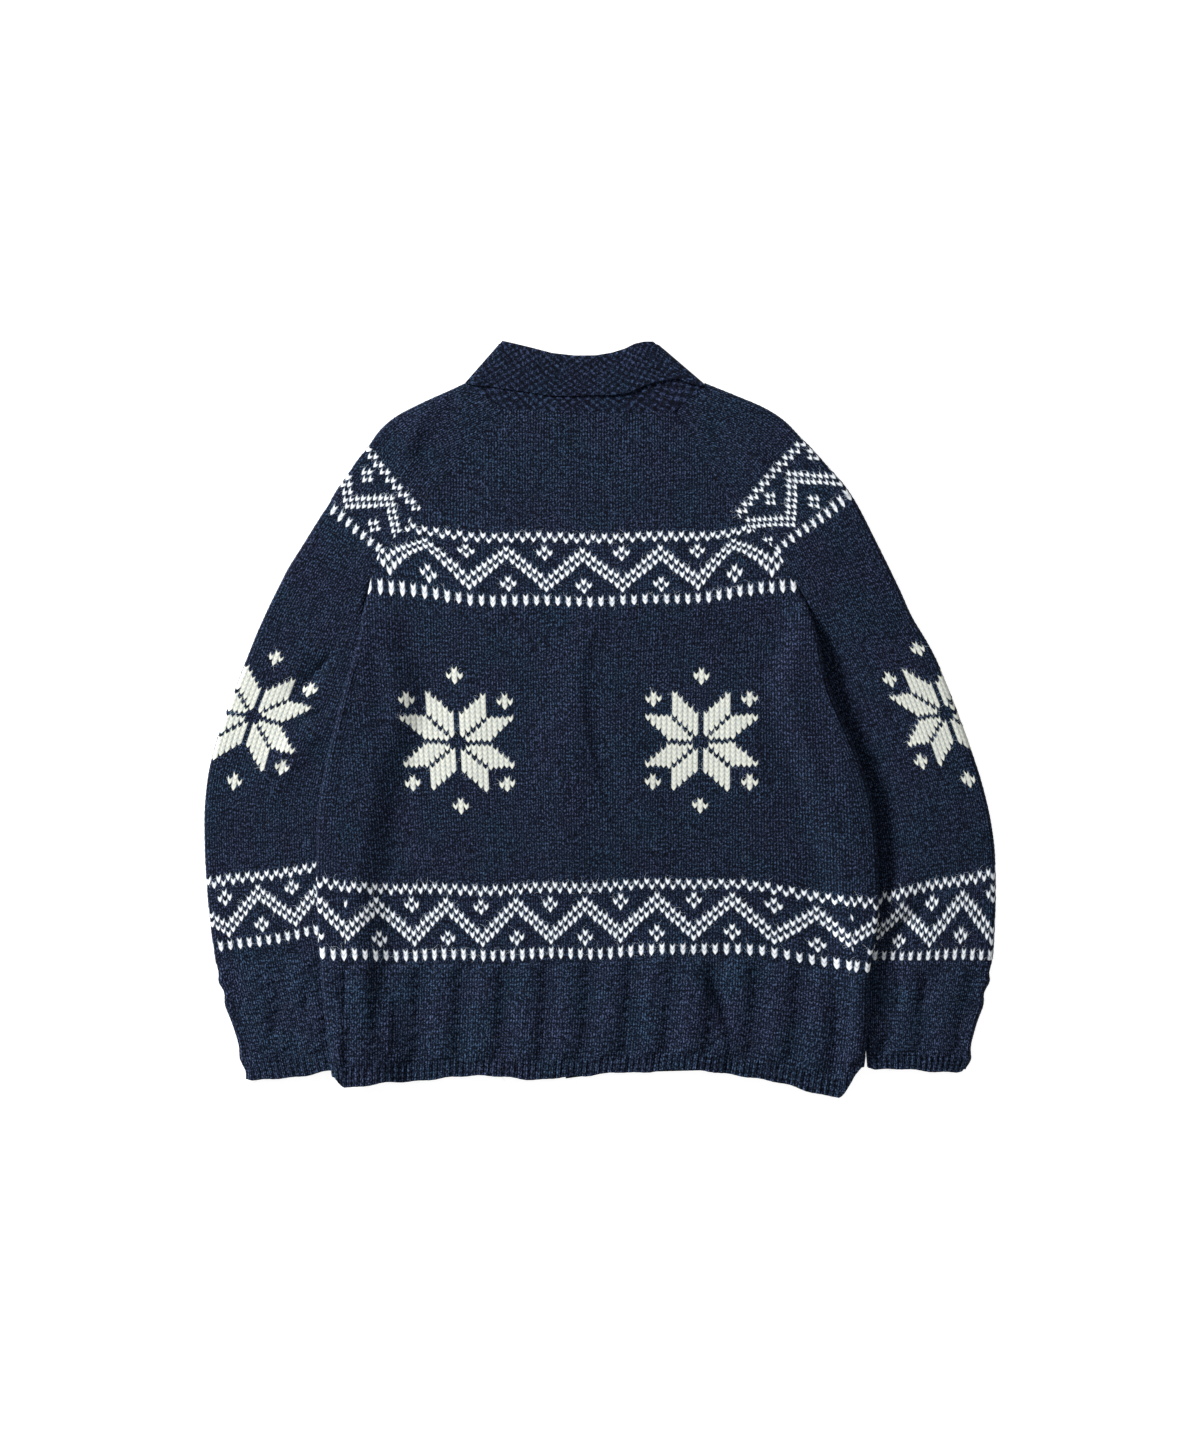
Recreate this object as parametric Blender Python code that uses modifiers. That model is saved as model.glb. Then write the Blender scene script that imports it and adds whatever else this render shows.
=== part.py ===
"""Nordic raglan cardigan, laid flat with its back up.

X runs along the shoulders, Y from the hem to the collar and Z up from the surface it lies on.
The wearer's left side is at -X. The fronts lie face down on the surface, the back lies on them,
and both sleeves are tucked a little way under the sides of the body. All lengths are in mm
until sheet() turns them into metres. Every piece is the inner face of a knitted wall, which
Solidify thickens outwards; cables are raised in that outer face only.
"""

import math
from collections import namedtuple

import bmesh
import bpy
from mathutils import Vector

OBJECT = "nordic_cardigan"
MM = 0.001

# Driving dimensions
CLOTH = 2.8  # thickness of the knitted wall
LOFT = 3.4  # air between the two layers that lie on each other
SEAM = 0.3  # clearance between pieces at a seam
RAGLAN_EASE = 0.28  # half the clearance along a curved seam
LAP = CLOTH + SEAM  # rise of a layer that lies directly on another
FOLD_IN = LOFT / 2  # inner radius of a side fold
FOLD_OUT = FOLD_IN + CLOTH
FOLD_MID = FOLD_IN + CLOTH / 2
QUARTER = FOLD_MID * math.pi / 2  # length of cloth round a quarter of a fold
TOP = FOLD_OUT + FOLD_IN  # height of the back's inner face
LIFT_RAMP = 24.0  # width over which the body comes down beside a tucked sleeve
ARMPIT_PUCKER = 30.0  # length over which the raglan seams rise out of the armpit
BAND_LEFT = -32.0  # edges of the two front bands, which lie on each other
BAND_RIGHT = 13.0
BAND_TOP = 211.0
LEFT_BAND_HEM = (-341.0, -330.0)  # y of its lower end at the band's left and right edges
RIGHT_BAND_HEM = (-330.0, -330.0)
BAND_CLIMB = 20.0  # width over which the right front climbs onto the left band
BAND_FLAT = 4.0  # width of the right front that lies level beside the band
CABLE_PITCH = 38.0  # from one cable to the next
CABLE_SHARE = 0.7  # of the pitch is rope, the rest is the purl valley
CABLE_RISE = 2.0
CROSSING = 12.0  # length of one crossing of a cable
CROSSING_RELIEF = 0.28  # share of the rise that comes and goes with the crossings
STRAND_SLANT = 0.5  # of a crossing's length, over the width of a rope
RIB_HEIGHT = 17.0  # plain ribbed edge below the cables
CUFF_CABLES = 3  # on the upper side of each cuff
CUFF_CABLE_LENGTH = 90.0
CUFF_CABLE_START = 0.15  # of a pitch, from the cuff's seam to its first rope
UPPER_SIDE = FOLD_OUT + 0.6 * FOLD_IN  # a folded layer counts as the upper one above this
FOLD_ENDS = 0.35  # share of a soft fold's height that is left at its ends

# How closely the walls are divided. Pieces that share a seam share these rows.
LOWER_COUNT = 12  # rows of the body from welt to armpit
UPPER_COUNT = 8  # rows along the raglan seams
ARM_COUNT = 12  # rows of a sleeve from armpit to cuff
WELT_COUNT = 12  # rows of a cabled welt or cuff
FOLD_SEGMENTS = 6  # columns round a fold
END_SEGMENTS = 2  # columns of a sleeve's cloth that share a fold at its seam
EDGE_SEGMENTS = 3  # the same on the back
BACK_COLUMNS = 7  # columns of the back between the parts that the sleeves raise
RAMP_COLUMNS = (0, 0.3, 0.65, 1)  # columns down the ramp beside a sleeve
RAMP_START = 2.0  # least level cloth between a fold and the ramp
EDGE_COLUMNS = (24.0, 13.0, 3.0, 0.0)  # distances of a front's last columns from its edge
SLEEVE_COLUMNS = 5  # columns of a sleeve's upper side
UNDER_COLUMNS = 3  # columns of a sleeve's or cuff's underside
CUFF_COLUMNS = 12  # columns of a cuff's upper side
BAND_ROWS = 8
COLLAR_FRONT_COLUMNS = 4
COLLAR_BACK_COLUMNS = 8
COLLAR_TURN = (0.25, 0.5, 0.75)  # stations round each side of the collar
COLLAR_CLIMB = 0.2  # share of the stand over which it climbs onto the fall below it

# Rows of the body below the armpits. Each row runs from the left side fold over the back to the
# right side fold: y at the fold, at the side seam and at three quarter points between the seams.
# lift is how far a sleeve raises that side, tuck how wide the raised part is.
BodyRow = namedtuple(
    "BodyRow",
    "name fold_l y_fold_l seam_l y0 y1 y2 y3 y4 seam_r y_fold_r fold_r "
    "front_l front_r lift_l tuck_l lift_r tuck_r",
)
BODY = [
    BodyRow("hem", -248, -330, -237, -340, -331, -332, -329, -351, 221, -320, 247.5,
            -331, -334, 13.0, 38, 3.0, 4),
    BodyRow("rib", -255, -279, -237, -283, -279, -279, -275, -290, 230, -284, 244,
            -279, -280, 13.0, 38, 7.5, 6),
    BodyRow("welt_top", -260, -223, -236, -226, -226, -224, -220, -235, 234, -236, 249,
            -224, -224, 12.6, 36, 11.8, 12),
    BodyRow("low_band", -263, -148, -237, -152, -155, -152, -150, -166, 234, -169, 259,
            -152, -152, 10.2, 33, 11.8, 27),
    BodyRow("waist", -259, -65, -241, -65, -66, -65, -65, -66, 233, -66, 250,
            -65, -65, 9.6, 43, 12.0, 41),
    BodyRow("chest", -238, 28, -227, 28, 25, 26, 26, 27, 206, 27, 214,
            26, 26, 9.6, 43, 12.0, 35),
    BodyRow("tuck", -224, 74, -219, 74, 66, 65, 67, 75, 198, 75, 203,
            68, 68, 9.8, 14, 10.5, 14),
    BodyRow("armpit_low", -221, 98, -220, 98, 87, 86, 89, 98, 195.5, 98, 196.5,
            92, 92, 6.0, 8, 6.0, 8),
    BodyRow("armpit", -218, 114, -218, 114, 103, 102, 105, 115, 190, 115, 190,
            108, 108, 0.0, 6, 0.0, 6),
]

# Raglan seams from armpit to neck: the back seam, the front seam under it, and the sleeve's
# outer fold level with them.
Raglan = namedtuple("Raglan", "name back_x back_y front_x front_y outer_x outer_y")
RAGLAN_LEFT = [
    Raglan("armpit", -218, 114, -218, 114, -291, 140),
    Raglan("band_low", -205, 157, -203, 150, -256, 196),
    Raglan("band_top", -187, 174, -183, 168, -240, 222),
    Raglan("shoulder", -169, 195, -166, 187, -218, 252),
    Raglan("yoke", -137, 234, -130, 226, -191, 282),
    Raglan("neck", -89, 290, -93, 268, -127.5, 311),
]
RAGLAN_RIGHT = [
    Raglan("armpit", 190, 115, 190, 115, 270, 140),
    Raglan("band_low", 166, 155, 165, 150, 235.5, 207),
    Raglan("band_top", 146, 173, 145, 168, 209.5, 239),
    Raglan("shoulder", 128, 192, 128, 186, 189, 261),
    Raglan("yoke", 103, 233, 106, 226, 159, 287.5),
    Raglan("neck", 70, 288, 74, 267, 99.5, 311),
]

# Rows between the raglan seams: y at three quarter points of the back, then at the middle and
# the centre edge of a front. The last row is the neckline.
YokeRow = namedtuple("YokeRow", "name y1 y2 y3 front_mid front_centre")
YOKE = [
    YokeRow("armpit", 103, 102, 105, 110, 108),
    YokeRow("band_low", 139, 136, 138, 144, 140),
    YokeRow("band_top", 169, 168, 169, 163, 158),
    YokeRow("shoulder", 191, 190, 191, 180, 176),
    YokeRow("yoke", 229, 227, 228, 205, 196),
    YokeRow("neck", 288, 287, 287, 226, 211),
]

# Sleeves below the armpit: outer fold and inner fold of each section.
Section = namedtuple("Section", "name outer_x outer_y inner_x inner_y")
ARM_LEFT = [
    Section("armpit", -291, 140, -218, 114),
    Section("armpit_low", -300, 122, -221.2, 98),
    Section("tuck", -313, 95, -215, 74),
    Section("upper", -328, 59, -201, 28),
    Section("elbow", -356.5, -18, -219, -48),
    Section("forearm", -367.4, -76, -232, -94),
    Section("low_band", -366, -152, -237, -132),
    Section("cuff_top", -357, -228, -232, -207),
    Section("cuff_mid", -342, -285, -224, -268),
    Section("cuff_hem", -328, -337, -216, -322),
]
ARM_RIGHT = [
    Section("armpit", 270, 140, 190, 115),
    Section("armpit_low", 279, 121, 196.7, 98),
    Section("tuck", 291, 95, 195, 74),
    Section("upper", 314, 54, 186, 27),
    Section("elbow", 344.5, -25, 212, -51),
    Section("forearm", 362, -86, 229, -106),
    Section("low_band", 368, -141, 239, -169),
    Section("cuff_top", 365, -223, 244, -223),
    Section("cuff_mid", 351, -282, 245.8, -278),
    Section("cuff_hem", 341, -327, 249, -324),
]

# The largest soft folds of the upper layer: a bent line from start over middle to end.
Fold = namedtuple("Fold", "name start middle end width rise")
BACK_FOLDS = [
    Fold("bulge left of centre", (-26, 34), (-33, -46), (-23, -140), 24, 4.5),
    Fold("bulge right of centre", (8, 30), (26, -27), (64, -139), 18, 2.6),
    Fold("welt bulge", (44, -205), (84, -262), (92, -326), 20, 6.0),
    Fold("welt crease", (68, -222), (108, -252), (122, -318), 9, -2.4),
    Fold("left trough", (-196, -10), (-190, -74), (-182, -150), 15, -2.2),
    Fold("yoke hollow", (-131, 228), (-134, 205), (-120, 186), 14, -1.8),
]
LEFT_SLEEVE_FOLDS = [
    Fold("shoulder ridge", (-163, 284), (-175, 261), (-181, 235), 9, 3.2),
    Fold("elbow crease", (-255, 60), (-270, 40), (-290, 22), 9, -2.0),
    Fold("elbow roll", (-268, -12), (-290, -35), (-308, -66), 13, 3.5),
]
RIGHT_SLEEVE_FOLDS = [
    Fold("shoulder bulge", (132, 262), (146, 242), (158, 222), 13, 3.0),
    Fold("wrist crease", (262, -226), (286, -192), (312, -158), 10, -2.2),
    Fold("wrist roll", (250, -190), (272, -172), (290, -142), 12, 3.5),
]

# The collar's roll, from the centre front round one side fold, over the back to the other side,
# and how far its fall turns down from it.
Roll = namedtuple("Roll", "name x y fall")
ROLL_FRONT_LEFT = [
    Roll("centre_front", -11.5, 258, 32),
    Roll("front", -50, 281, 31),
    Roll("side_front", -81, 324, 26),
    Roll("side", -90, 345, 24),
]
ROLL_BACK = [
    Roll("side_left", -88, 346, 24),
    Roll("left", -74, 349, 38),
    Roll("centre_left", -38, 340.5, 41),
    Roll("centre", -4, 337.5, 39),
    Roll("centre_right", 20, 342.5, 41),
    Roll("right", 36, 349.5, 38),
    Roll("side_right", 44, 347, 22),
]
ROLL_FRONT_RIGHT = [
    Roll("centre_front", -8, 258, 32),
    Roll("front", 20, 281, 31),
    Roll("side_front", 38, 324, 26),
    Roll("side", 45, 345, 22),
]
NECK_FOLD_LEFT = ((-127.5, 312.3), (-97, 350.5))  # the collar's left edge, seam to roll
NECK_FOLD_RIGHT = ((98.6, 312.2), (52, 351))
COLLAR_START = 0.9  # from the neckline to the collar's edge

NAVY = (0.030, 0.044, 0.088)
DARK_NAVY = (0.026, 0.038, 0.078)
KNIT_ROUGHNESS = 0.95


def along(values, t):
    """Smooth value at t, 0 to 1, through evenly spaced key values."""
    spans = len(values) - 1
    place = min(max(t, 0.0), 1.0) * spans
    k = min(int(place), spans - 1)
    f = place - k
    a, b = values[k], values[k + 1]
    before = values[k - 1] if k > 0 else 2 * a - b
    after = values[k + 2] if k + 2 <= spans else 2 * b - a
    curve = 2 * a + (b - before) * f + (2 * before - 5 * a + 4 * b - after) * f**2
    return 0.5 * (curve + (3 * a - before - 3 * b + after) * f**3)


def table_row(table, t):
    """All numbers of a table at t, 0 at its first row and 1 at its last."""
    kind = type(table[0])
    numbers = [along([row[i] for row in table], t) for i in range(1, len(kind._fields))]
    return kind(table[0].name, *numbers)


def at_key(table, name):
    """The t at which a table reaches a named row."""
    return [row.name for row in table].index(name) / (len(table) - 1)


def ease(f):
    f = min(max(f, 0.0), 1.0)
    return f * f * (3 - 2 * f)


def steps(start, end, count):
    return [start + (end - start) * i / count for i in range(count + 1)]


def bent_line(fold, count=12):
    """Points along a fold's curve, from start over middle to end."""
    a, m, b = (Vector(p) for p in (fold.start, fold.middle, fold.end))
    control = 2 * m - (a + b) / 2
    return [(1 - t) ** 2 * a + 2 * t * (1 - t) * control + t * t * b for t in steps(0, 1, count)]


UPPER_ROWS = steps(0, 1, UPPER_COUNT)
FOLD_LINES = {
    fold.name: bent_line(fold)
    for fold in BACK_FOLDS + LEFT_SLEEVE_FOLDS + RIGHT_SLEEVE_FOLDS
}


def fold_rise(folds, x, y):
    """Height that the soft folds add at a point."""
    total = 0.0
    for fold in folds:
        line = FOLD_LINES[fold.name]
        far = [(Vector((x, y)) - p).length for p in line]
        nearest = min(range(len(far)), key=far.__getitem__)
        middle = math.sin(math.pi * nearest / (len(line) - 1))
        end_taper = FOLD_ENDS + (1 - FOLD_ENDS) * middle
        total += fold.rise * end_taper * math.exp(-((far[nearest] / fold.width) ** 2))
    return total


def pucker(y, armpit_y):
    """Angle of the side fold that is left at a raglan seam: a quarter turn at the armpit."""
    return math.pi / 2 * (1 - ease((y - armpit_y) / ARMPIT_PUCKER))


def round_fold(reach):
    """Inner face near a fold at a reach of cloth from its outermost line, up being positive.
    Gives how far the point lies in from the fold's centre line, and its height."""
    if reach > QUARTER:
        return reach - QUARTER, FOLD_OUT + FOLD_IN
    if reach < -QUARTER:
        return -QUARTER - reach, FOLD_OUT - FOLD_IN
    angle = reach / FOLD_MID
    return -FOLD_IN * math.cos(angle), FOLD_OUT + FOLD_IN * math.sin(angle)


def cable(across, down):
    """Rise of a cable at a distance across its column and down its length."""
    share = (across / CABLE_PITCH) % 1.0 / CABLE_SHARE
    if share >= 1.0 or down < 0.0:
        return 0.0
    twist = math.cos(2 * math.pi * (down / CROSSING - STRAND_SLANT * share))
    return CABLE_RISE * math.sin(math.pi * share) * (1 - CROSSING_RELIEF * (1 - twist))


def material(name, colour):
    made = bpy.data.materials.new(name)
    made.use_nodes = True
    shader = made.node_tree.nodes["Principled BSDF"]
    shader.inputs["Base Color"].default_value = (*colour, 1.0)
    shader.inputs["Roughness"].default_value = KNIT_ROUGHNESS
    shader.inputs["Metallic"].default_value = 0.0
    made.diffuse_color = (*colour, 1.0)
    return made


def sheet(name, rows, colour, side=1.0):
    """A knitted wall on rows of points (x, y, z, relief), given row by row.
    side is 1 where the points are its inner face and 0 where they are its middle."""
    across, up = len(rows[0]) - 1, len(rows) - 1
    thickest = CLOTH + max(point[3] for row in rows for point in row)
    bm = bmesh.new()
    bmesh.ops.create_grid(bm, x_segments=across, y_segments=up, size=0.5)
    bm.verts.ensure_lookup_table()
    points = [point for row in rows for point in row]
    for vert, point in zip(bm.verts, points):
        vert.co = Vector(point[:3]) * MM
    mesh = bpy.data.meshes.new(name)
    bm.to_mesh(mesh)
    bm.free()
    mesh.shade_smooth()
    obj = bpy.data.objects.new(name, mesh)
    group = obj.vertex_groups.new(name="wall")
    for index, point in enumerate(points):
        group.add([index], (CLOTH + point[3]) / thickest, "REPLACE")
    wall = obj.modifiers.new("wall", "SOLIDIFY")
    wall.thickness = thickest * MM
    wall.offset = side
    wall.vertex_group = group.name
    wall.use_quality_normals = True
    mesh.materials.append(material(name + "_wool", colour))
    bpy.data.collections[OBJECT].objects.link(obj)
    return obj


# ---------------------------------------------------------------- body


def body_lift(row, x):
    """How far the sleeves raise the body at x."""
    left = ease(1 - (x - row.fold_l - row.tuck_l) / LIFT_RAMP)
    right = ease(1 - (row.fold_r - row.tuck_r - x) / LIFT_RAMP)
    return row.lift_l * left + row.lift_r * right


def upper_row(t):
    """The body's row at t between the armpits and the neck, as a BodyRow on the back seams."""
    left, right = table_row(RAGLAN_LEFT, t), table_row(RAGLAN_RIGHT, t)
    yoke = table_row(YOKE, t)
    return BODY[-1]._replace(
        fold_l=left.back_x,
        y_fold_l=left.back_y,
        seam_l=left.back_x,
        y0=left.back_y,
        y1=yoke.y1,
        y2=yoke.y2,
        y3=yoke.y3,
        y4=right.back_y,
        seam_r=right.back_x,
        y_fold_r=right.back_y,
        fold_r=right.back_x,
    )


def beside_sleeve(end, plateau, side):
    """x of the columns from the end of a fold over the raised part and down its ramp."""
    plateau = side * max(side * plateau, side * end + RAMP_START)
    return [end] + [plateau + side * LIFT_RAMP * f for f in RAMP_COLUMNS]


def back_row(row, turn, flat_columns):
    """Points (x, y, z) of the back's inner face along one row. turn is the angle of the side
    fold that belongs to the back at each edge, or None where the side seams lie on the top."""
    if turn is None:
        reach_l, reach_r = row.seam_l - row.fold_l, row.fold_r - row.seam_r
        turn = math.pi / 2
    else:
        reach_l = reach_r = QUARTER - FOLD_MID * turn + SEAM
    inset = RAGLAN_EASE + FOLD_OUT * math.sin(turn)
    centre_l, centre_r = row.fold_l + inset, row.fold_r - inset
    left, right = [], []
    for extra in steps(0, QUARTER, EDGE_SEGMENTS):
        inward, z = round_fold(reach_l + extra)
        left.append((centre_l + inward, z))
        inward, z = round_fold(reach_r + extra)
        right.append((centre_r - inward, z))
    from_left = beside_sleeve(left[-1][0], row.fold_l + row.tuck_l, 1)
    from_right = beside_sleeve(right[-1][0], row.fold_r - row.tuck_r, -1)
    if flat_columns is None:
        middle = steps(from_left[-1], from_right[-1], BACK_COLUMNS)
        flat = from_left[:-1] + middle + from_right[:-1][::-1]
    else:
        flat = steps(left[-1][0], right[-1][0], flat_columns)
    path = left[:-1] + [(x, TOP) for x in flat] + right[:-1][::-1]
    ys = [row.y0, row.y1, row.y2, row.y3, row.y4]
    first, last = path[0][0], path[-1][0]
    points = []
    for x, z in path:
        y = along(ys, (x - first) / (last - first))
        rise = fold_rise(BACK_FOLDS, x, y)
        points.append((x, y, z + body_lift(row, x) + rise))
    return points


def back():
    start = at_key(BODY, "welt_top")
    rows = []
    for i, t in enumerate(steps(start, 1, LOWER_COUNT)):
        turn = math.pi / 2 if i == LOWER_COUNT else None
        shift = SEAM / 2 if i == 0 else 0.0
        points = back_row(table_row(BODY, t), turn, None)
        rows.append([(x, y + shift, z, 0.0) for x, y, z in points])
    armpit_y = RAGLAN_LEFT[0].back_y
    for t in UPPER_ROWS[1:]:
        row = upper_row(t)
        shift = -SEAM / 2 if t == 1 else 0.0
        turn = pucker(row.y_fold_l, armpit_y)
        rows.append([(x, y + shift, z, 0.0) for x, y, z in back_row(row, turn, None)])
    return sheet("back", rows, NAVY)


def between_columns(points, x):
    """y at x on the straight stretches of a row, so that two pieces share the same seam line."""
    for (x0, y0, _), (x1, y1, _) in zip(points, points[1:]):
        if x <= x1:
            return y0 + (y1 - y0) * (x - x0) / (x1 - x0)
    return points[-1][1]


def back_welt():
    """The back's cabled welt, with its plain ribbed edge."""
    end = at_key(BODY, "welt_top")
    top = table_row(BODY, end)
    cables = round((top.seam_r - top.seam_l) / CABLE_PITCH)
    columns = cables * 4
    rows = []
    for i, t in enumerate(steps(0, end, WELT_COUNT)):
        row = table_row(BODY, t)
        points = back_row(row, None, columns)
        shift = -SEAM / 2 if i == WELT_COUNT else 0.0
        first, last = points[0][0], points[-1][0]
        coarse = back_row(row, None, None)
        down = row.y2 - BODY[0].y2 - RIB_HEIGHT
        line = []
        for x, _, z in points:
            across = (x - first) / (last - first) * cables * CABLE_PITCH
            line.append((x, between_columns(coarse, x) + shift, z, cable(across, down)))
        rows.append(line)
    return sheet("back_welt", rows, DARK_NAVY)


def front_edge(side):
    return BAND_LEFT - SEAM if side < 0 else BAND_RIGHT + 2 * SEAM


def band_rise(side, x):
    """The right front climbs onto the left band beside the centre."""
    return 0.0 if side < 0 else LAP * ease(1 - (x - BAND_RIGHT - BAND_FLAT) / BAND_CLIMB)


def front_points(side, fold, reach, inset, seam_y, ys, row):
    """Points of a front's inner face along one row, from its side seam round the fold to the
    centre edge. reach is the cloth between the fold line and the seam, up being positive."""
    centre = fold - side * inset
    if reach > QUARTER:
        reaches = steps(reach, QUARTER, 2)[:-1] + steps(QUARTER, -QUARTER, FOLD_SEGMENTS)
    else:
        reaches = steps(reach, min(-QUARTER, reach - QUARTER), FOLD_SEGMENTS + 2)
    points = []
    for here in reaches:
        inward, z = round_fold(here)
        x = centre - side * inward
        if here > 0:
            y = ys[0] + (seam_y - ys[0]) * ease(here / reach)
        else:
            y = along(ys, (x - fold) / (front_edge(side) - fold))
        rise = fold_rise(BACK_FOLDS, x, y) if here > QUARTER else 0.0
        points.append((x, y, z + body_lift(row, x) + rise))
    plateau = row.fold_l + row.tuck_l if side < 0 else row.fold_r - row.tuck_r
    ramp = beside_sleeve(points[-1][0], plateau, -side)
    edge = [front_edge(side) + side * distance for distance in EDGE_COLUMNS]
    middle = (ramp[-1] + edge[0]) / 2
    for x in ramp[1:] + [middle] + edge:
        y = along(ys, (x - fold) / (front_edge(side) - fold))
        points.append((x, y, CLOTH + body_lift(row, x) + band_rise(side, x)))
    return points if side > 0 else points[::-1]


def lower_front_row(side, t):
    row = table_row(BODY, t)
    left = side < 0
    fold, y_fold = (row.fold_l, row.y_fold_l) if left else (row.fold_r, row.y_fold_r)
    seam, seam_y = (row.seam_l, row.y0) if left else (row.seam_r, row.y4)
    centre_y = row.front_l if left else row.front_r
    reach = side * (fold - seam) - SEAM
    ys = [y_fold, (y_fold + centre_y) / 2, centre_y]
    return front_points(side, fold, reach, RAGLAN_EASE + FOLD_OUT, seam_y, ys, row)


def upper_front_row(side, t):
    raglan = table_row(RAGLAN_LEFT if side < 0 else RAGLAN_RIGHT, t)
    yoke = table_row(YOKE, t)
    turn = pucker(raglan.back_y, RAGLAN_LEFT[0].back_y)
    inset = RAGLAN_EASE + FOLD_OUT * math.sin(turn)
    reach = FOLD_MID * turn - QUARTER - SEAM
    ys = [raglan.front_y, yoke.front_mid, yoke.front_centre]
    flat = BODY[-1]._replace(fold_l=raglan.front_x, fold_r=raglan.front_x)
    return front_points(side, raglan.front_x, reach, inset, ys[0], ys, flat)


def front(side, name):
    start = at_key(BODY, "welt_top")
    rows = []
    for i, t in enumerate(steps(start, 1, LOWER_COUNT)):
        shift = SEAM / 2 if i == 0 else 0.0
        rows.append([(x, y + shift, z, 0.0) for x, y, z in lower_front_row(side, t)])
    for t in UPPER_ROWS[1:]:
        shift = -SEAM / 2 if t == 1 else 0.0
        rows.append([(x, y + shift, z, 0.0) for x, y, z in upper_front_row(side, t)])
    return sheet(name, rows, NAVY)


def front_welt(side, name):
    """A front's welt. Its cable shows on the strip that wraps onto the upper side."""
    end = at_key(BODY, "welt_top")
    rows = []
    for i, t in enumerate(steps(0, end, WELT_COUNT)):
        shift = -SEAM / 2 if i == WELT_COUNT else 0.0
        row = table_row(BODY, t)
        seam = row.seam_l if side < 0 else row.seam_r
        down = row.y2 - BODY[0].y2 - RIB_HEIGHT
        line = []
        for x, y, z in lower_front_row(side, t):
            on_top = z - body_lift(row, x) > UPPER_SIDE
            relief = cable(abs(x - seam), down) if on_top else 0.0
            line.append((x, y + shift, z, relief))
        rows.append(line)
    return sheet(name, rows, DARK_NAVY)


def front_band(name, hem, level):
    """A straight band along a front edge, level being the height of its inner face."""
    rows = []
    for f in steps(0, 1, BAND_ROWS):
        left, right = (end + (BAND_TOP - end) * f for end in hem)
        rows.append([(BAND_RIGHT, right, level, 0.0), (BAND_LEFT, left, level, 0.0)])
    return sheet(name, rows, DARK_NAVY)


# ---------------------------------------------------------------- sleeves


def arm_section(outer, top, bottom, turn, folds, flat_top):
    """Points of a sleeve's inner face round one section, from its seam at the top over the
    outer fold to its seam at the bottom."""
    outer, top, bottom = Vector(outer), Vector(top), Vector(bottom)
    inset = RAGLAN_EASE + FOLD_OUT * math.sin(turn)
    start = QUARTER - FOLD_MID * turn + SEAM
    points = []
    over, under = (top - outer).normalized(), (bottom - outer).normalized()
    middle = ((over + under) / 2).normalized()
    for here in steps(start, start + QUARTER, END_SEGMENTS):
        inward, z = round_fold(here)
        points.append((*(top - over * (inset + inward)), z))
    centre = outer + middle * FOLD_OUT
    last = Vector(points[-1][:2])
    for f in steps(0, 1, flat_top)[1:-1]:
        x, y = last.lerp(centre, f)
        points.append((x, y, TOP))
    for here in steps(QUARTER, -QUARTER, FOLD_SEGMENTS):
        inward, z = round_fold(here)
        points.append((*(centre + middle * inward), z))
    ending = []
    for here in steps(-start, -start - QUARTER, END_SEGMENTS):
        inward, z = round_fold(here)
        ending.append((*(bottom - under * (inset + inward)), z))
    last = Vector(ending[-1][:2])
    for f in steps(0, 1, UNDER_COLUMNS)[1:-1]:
        x, y = centre.lerp(last, f)
        points.append((x, y, CLOTH))
    points += ending[::-1]
    raised = []
    for x, y, z in points:
        shown = ease((z - FOLD_OUT) / FOLD_IN)
        raised.append((x, y, z + shown * fold_rise(folds, x, y)))
    return raised


def arm_rows(side, t_start, t_end, count, flat_top):
    """Sections of a sleeve or cuff below the armpit, where its seam lies in its inner fold."""
    table = ARM_LEFT if side < 0 else ARM_RIGHT
    folds = LEFT_SLEEVE_FOLDS if side < 0 else RIGHT_SLEEVE_FOLDS
    rows = []
    for t in steps(t_start, t_end, count):
        s = table_row(table, t)
        outer, inner = (s.outer_x, s.outer_y), (s.inner_x, s.inner_y)
        rows.append(arm_section(outer, inner, inner, math.pi / 2, folds, flat_top))
    return rows


def sleeve(side, name):
    table = RAGLAN_LEFT if side < 0 else RAGLAN_RIGHT
    folds = LEFT_SLEEVE_FOLDS if side < 0 else RIGHT_SLEEVE_FOLDS
    rows = []
    for t in UPPER_ROWS[:0:-1]:
        s = table_row(table, t)
        turn = pucker(s.back_y, RAGLAN_LEFT[0].back_y)
        outer, top, bottom = (s.outer_x, s.outer_y), (s.back_x, s.back_y), (s.front_x, s.front_y)
        rows.append(arm_section(outer, top, bottom, turn, folds, SLEEVE_COLUMNS))
    cuff_top = at_key(ARM_LEFT, "cuff_top")
    rows += arm_rows(side, 0, cuff_top, ARM_COUNT, SLEEVE_COLUMNS)
    rows[0] = [(x, y - SEAM, z) for x, y, z in rows[0]]
    rows[-1] = [(x, y + SEAM / 2, z) for x, y, z in rows[-1]]
    grid = [[(*point, 0.0) for point in row] for row in rows]
    return sheet(name, grid if side < 0 else grid[::-1], NAVY)


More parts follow.
